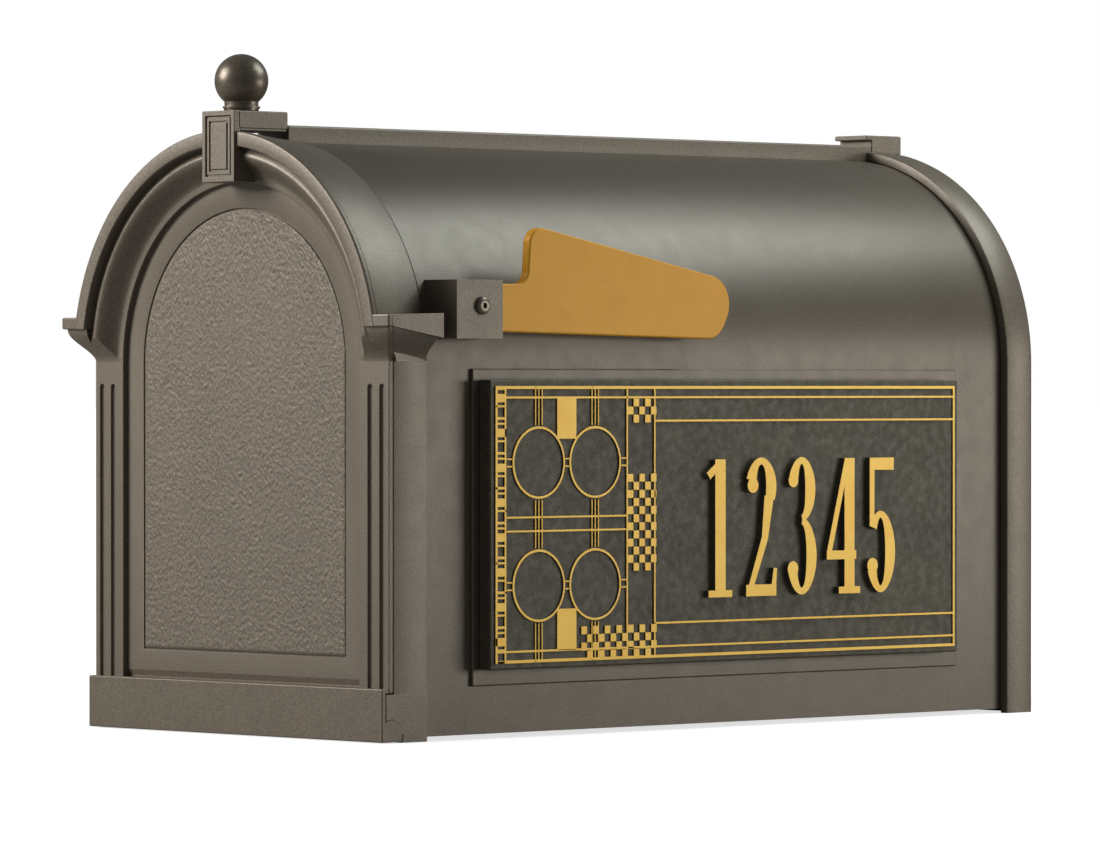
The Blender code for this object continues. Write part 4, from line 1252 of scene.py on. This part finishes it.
# Name, place, aim, size in metres, watts and colour.
LIGHTS = (
    ("door_softbox", (-1.39, -1.90, 1.22), (0.0, 0.0, 0.15), (1.2, 1.2), 74, (1.0, 0.965, 0.92)),
    ("roof_softbox", (0.42, 0.52, 0.93), (0.10, -0.14, 0.26), (0.6, 0.5), 6.8, (0.93, 1.0, 0.96)),
    ("side_softbox", (1.20, 1.05, 0.13), (0.12, 0.1, 0.10), (0.8, 0.5), 8.6, (1.0, 0.95, 0.87)),
)
AMBIENT = 0.16
FLOOR_HALF = 40.0
FLOOR_GAP = 0.0002
# The camera's place in millimetres from the datums, its heading and its dip, fitted to the photo.
CAMERA_AT = (2720.0, -2362.0, 189.0)
CAMERA_HEADING = (-0.724, 0.690)
CAMERA_DIP = math.radians(0.344)
CAMERA_LENS = 217.96


def area_light(name, at, towards, size, power, colour):
    data = bpy.data.lights.new(name, "AREA")
    data.shape = "RECTANGLE"
    data.size, data.size_y = size
    data.energy = power
    data.color = colour
    made = bpy.data.objects.new(name, data)
    bpy.context.scene.collection.objects.link(made)
    made.location = at
    made.rotation_euler = (Vector(at) - Vector(towards)).to_track_quat("Z", "Y").to_euler()


def build_floor():
    """A pale floor, white to the camera away from the object, and dim as a source of light."""
    bm = bmesh.new()
    bmesh.ops.create_grid(bm, x_segments=1, y_segments=1, size=FLOOR_HALF)
    mesh = bpy.data.meshes.new("studio_floor")
    bm.to_mesh(mesh)
    bm.free()
    floor = bpy.data.objects.new("studio_floor", mesh)
    bpy.context.scene.collection.objects.link(floor)
    floor.location = (0, 0, cad_box[0].z - FLOOR_GAP)
    look = Nodes("studio_floor")
    paper, tree = look.shader, look.tree
    paper.inputs["Base Color"].default_value = (0.6, 0.6, 0.6, 1)
    paper.inputs["Roughness"].default_value = 0.9
    paper.inputs["Specular IOR Level"].default_value = 0.0
    paper.inputs["Emission Color"].default_value = (1, 1, 1, 1)
    away = look.add("ShaderNodeVectorMath", operation="LENGTH")
    look.feed(look.place, away.inputs[0])
    look.feed(look.spread(away.outputs["Value"], 0.35, 1.6, 0.72, 1.0), paper.inputs["Emission Strength"])
    dim = look.add("ShaderNodeBsdfDiffuse")
    dim.inputs["Color"].default_value = (0.35, 0.35, 0.34, 1)
    show = look.add("ShaderNodeMixShader")
    look.feed(look.add("ShaderNodeLightPath").outputs["Is Camera Ray"], show.inputs["Fac"])
    look.feed(dim.outputs["BSDF"], show.inputs[1])
    look.feed(paper.outputs["BSDF"], show.inputs[2])
    look.feed(show.outputs["Shader"], tree.nodes["Material Output"].inputs["Surface"])
    mesh.materials.append(look.material)


def build_studio():
    """A backdrop that is white to the camera but gives little light, and three softboxes."""
    scene = bpy.context.scene
    scene.view_settings.view_transform = "Standard"
    world = bpy.data.worlds.new("studio")
    scene.world = world
    world.use_nodes = True
    tree = world.node_tree
    ambient = tree.nodes["Background"]
    ambient.inputs["Color"].default_value = (0.95, 0.97, 1.0, 1)
    ambient.inputs["Strength"].default_value = AMBIENT
    backdrop = tree.nodes.new("ShaderNodeBackground")
    backdrop.inputs["Color"].default_value = (1, 1, 1, 1)
    backdrop.inputs["Strength"].default_value = 1.0
    path = tree.nodes.new("ShaderNodeLightPath")
    mix = tree.nodes.new("ShaderNodeMixShader")
    tree.links.new(path.outputs["Is Camera Ray"], mix.inputs["Fac"])
    tree.links.new(ambient.outputs["Background"], mix.inputs[1])
    tree.links.new(backdrop.outputs["Background"], mix.inputs[2])
    tree.links.new(mix.outputs["Shader"], tree.nodes["World Output"].inputs["Surface"])
    for light in LIGHTS:
        area_light(*light)


def build_camera():
    data = bpy.data.cameras.new("photo_view")
    camera = bpy.data.objects.new("photo_view", data)
    bpy.context.scene.collection.objects.link(camera)
    data.sensor_width = 36.0
    data.lens = CAMERA_LENS
    data.clip_end = 100.0
    camera.location = Vector(CAMERA_AT) * MM + DATUM
    x, y = CAMERA_HEADING
    level = math.cos(CAMERA_DIP)
    look = Vector((x * level, y * level, -math.sin(CAMERA_DIP)))
    camera.rotation_euler = look.to_track_quat("-Z", "Y").to_euler()
    bpy.context.scene.camera = camera


build_door()
build_housing()
build_flag()
build_plaque()
build_digits()
dress_cad_nodes()
build_floor()
build_studio()
build_camera()
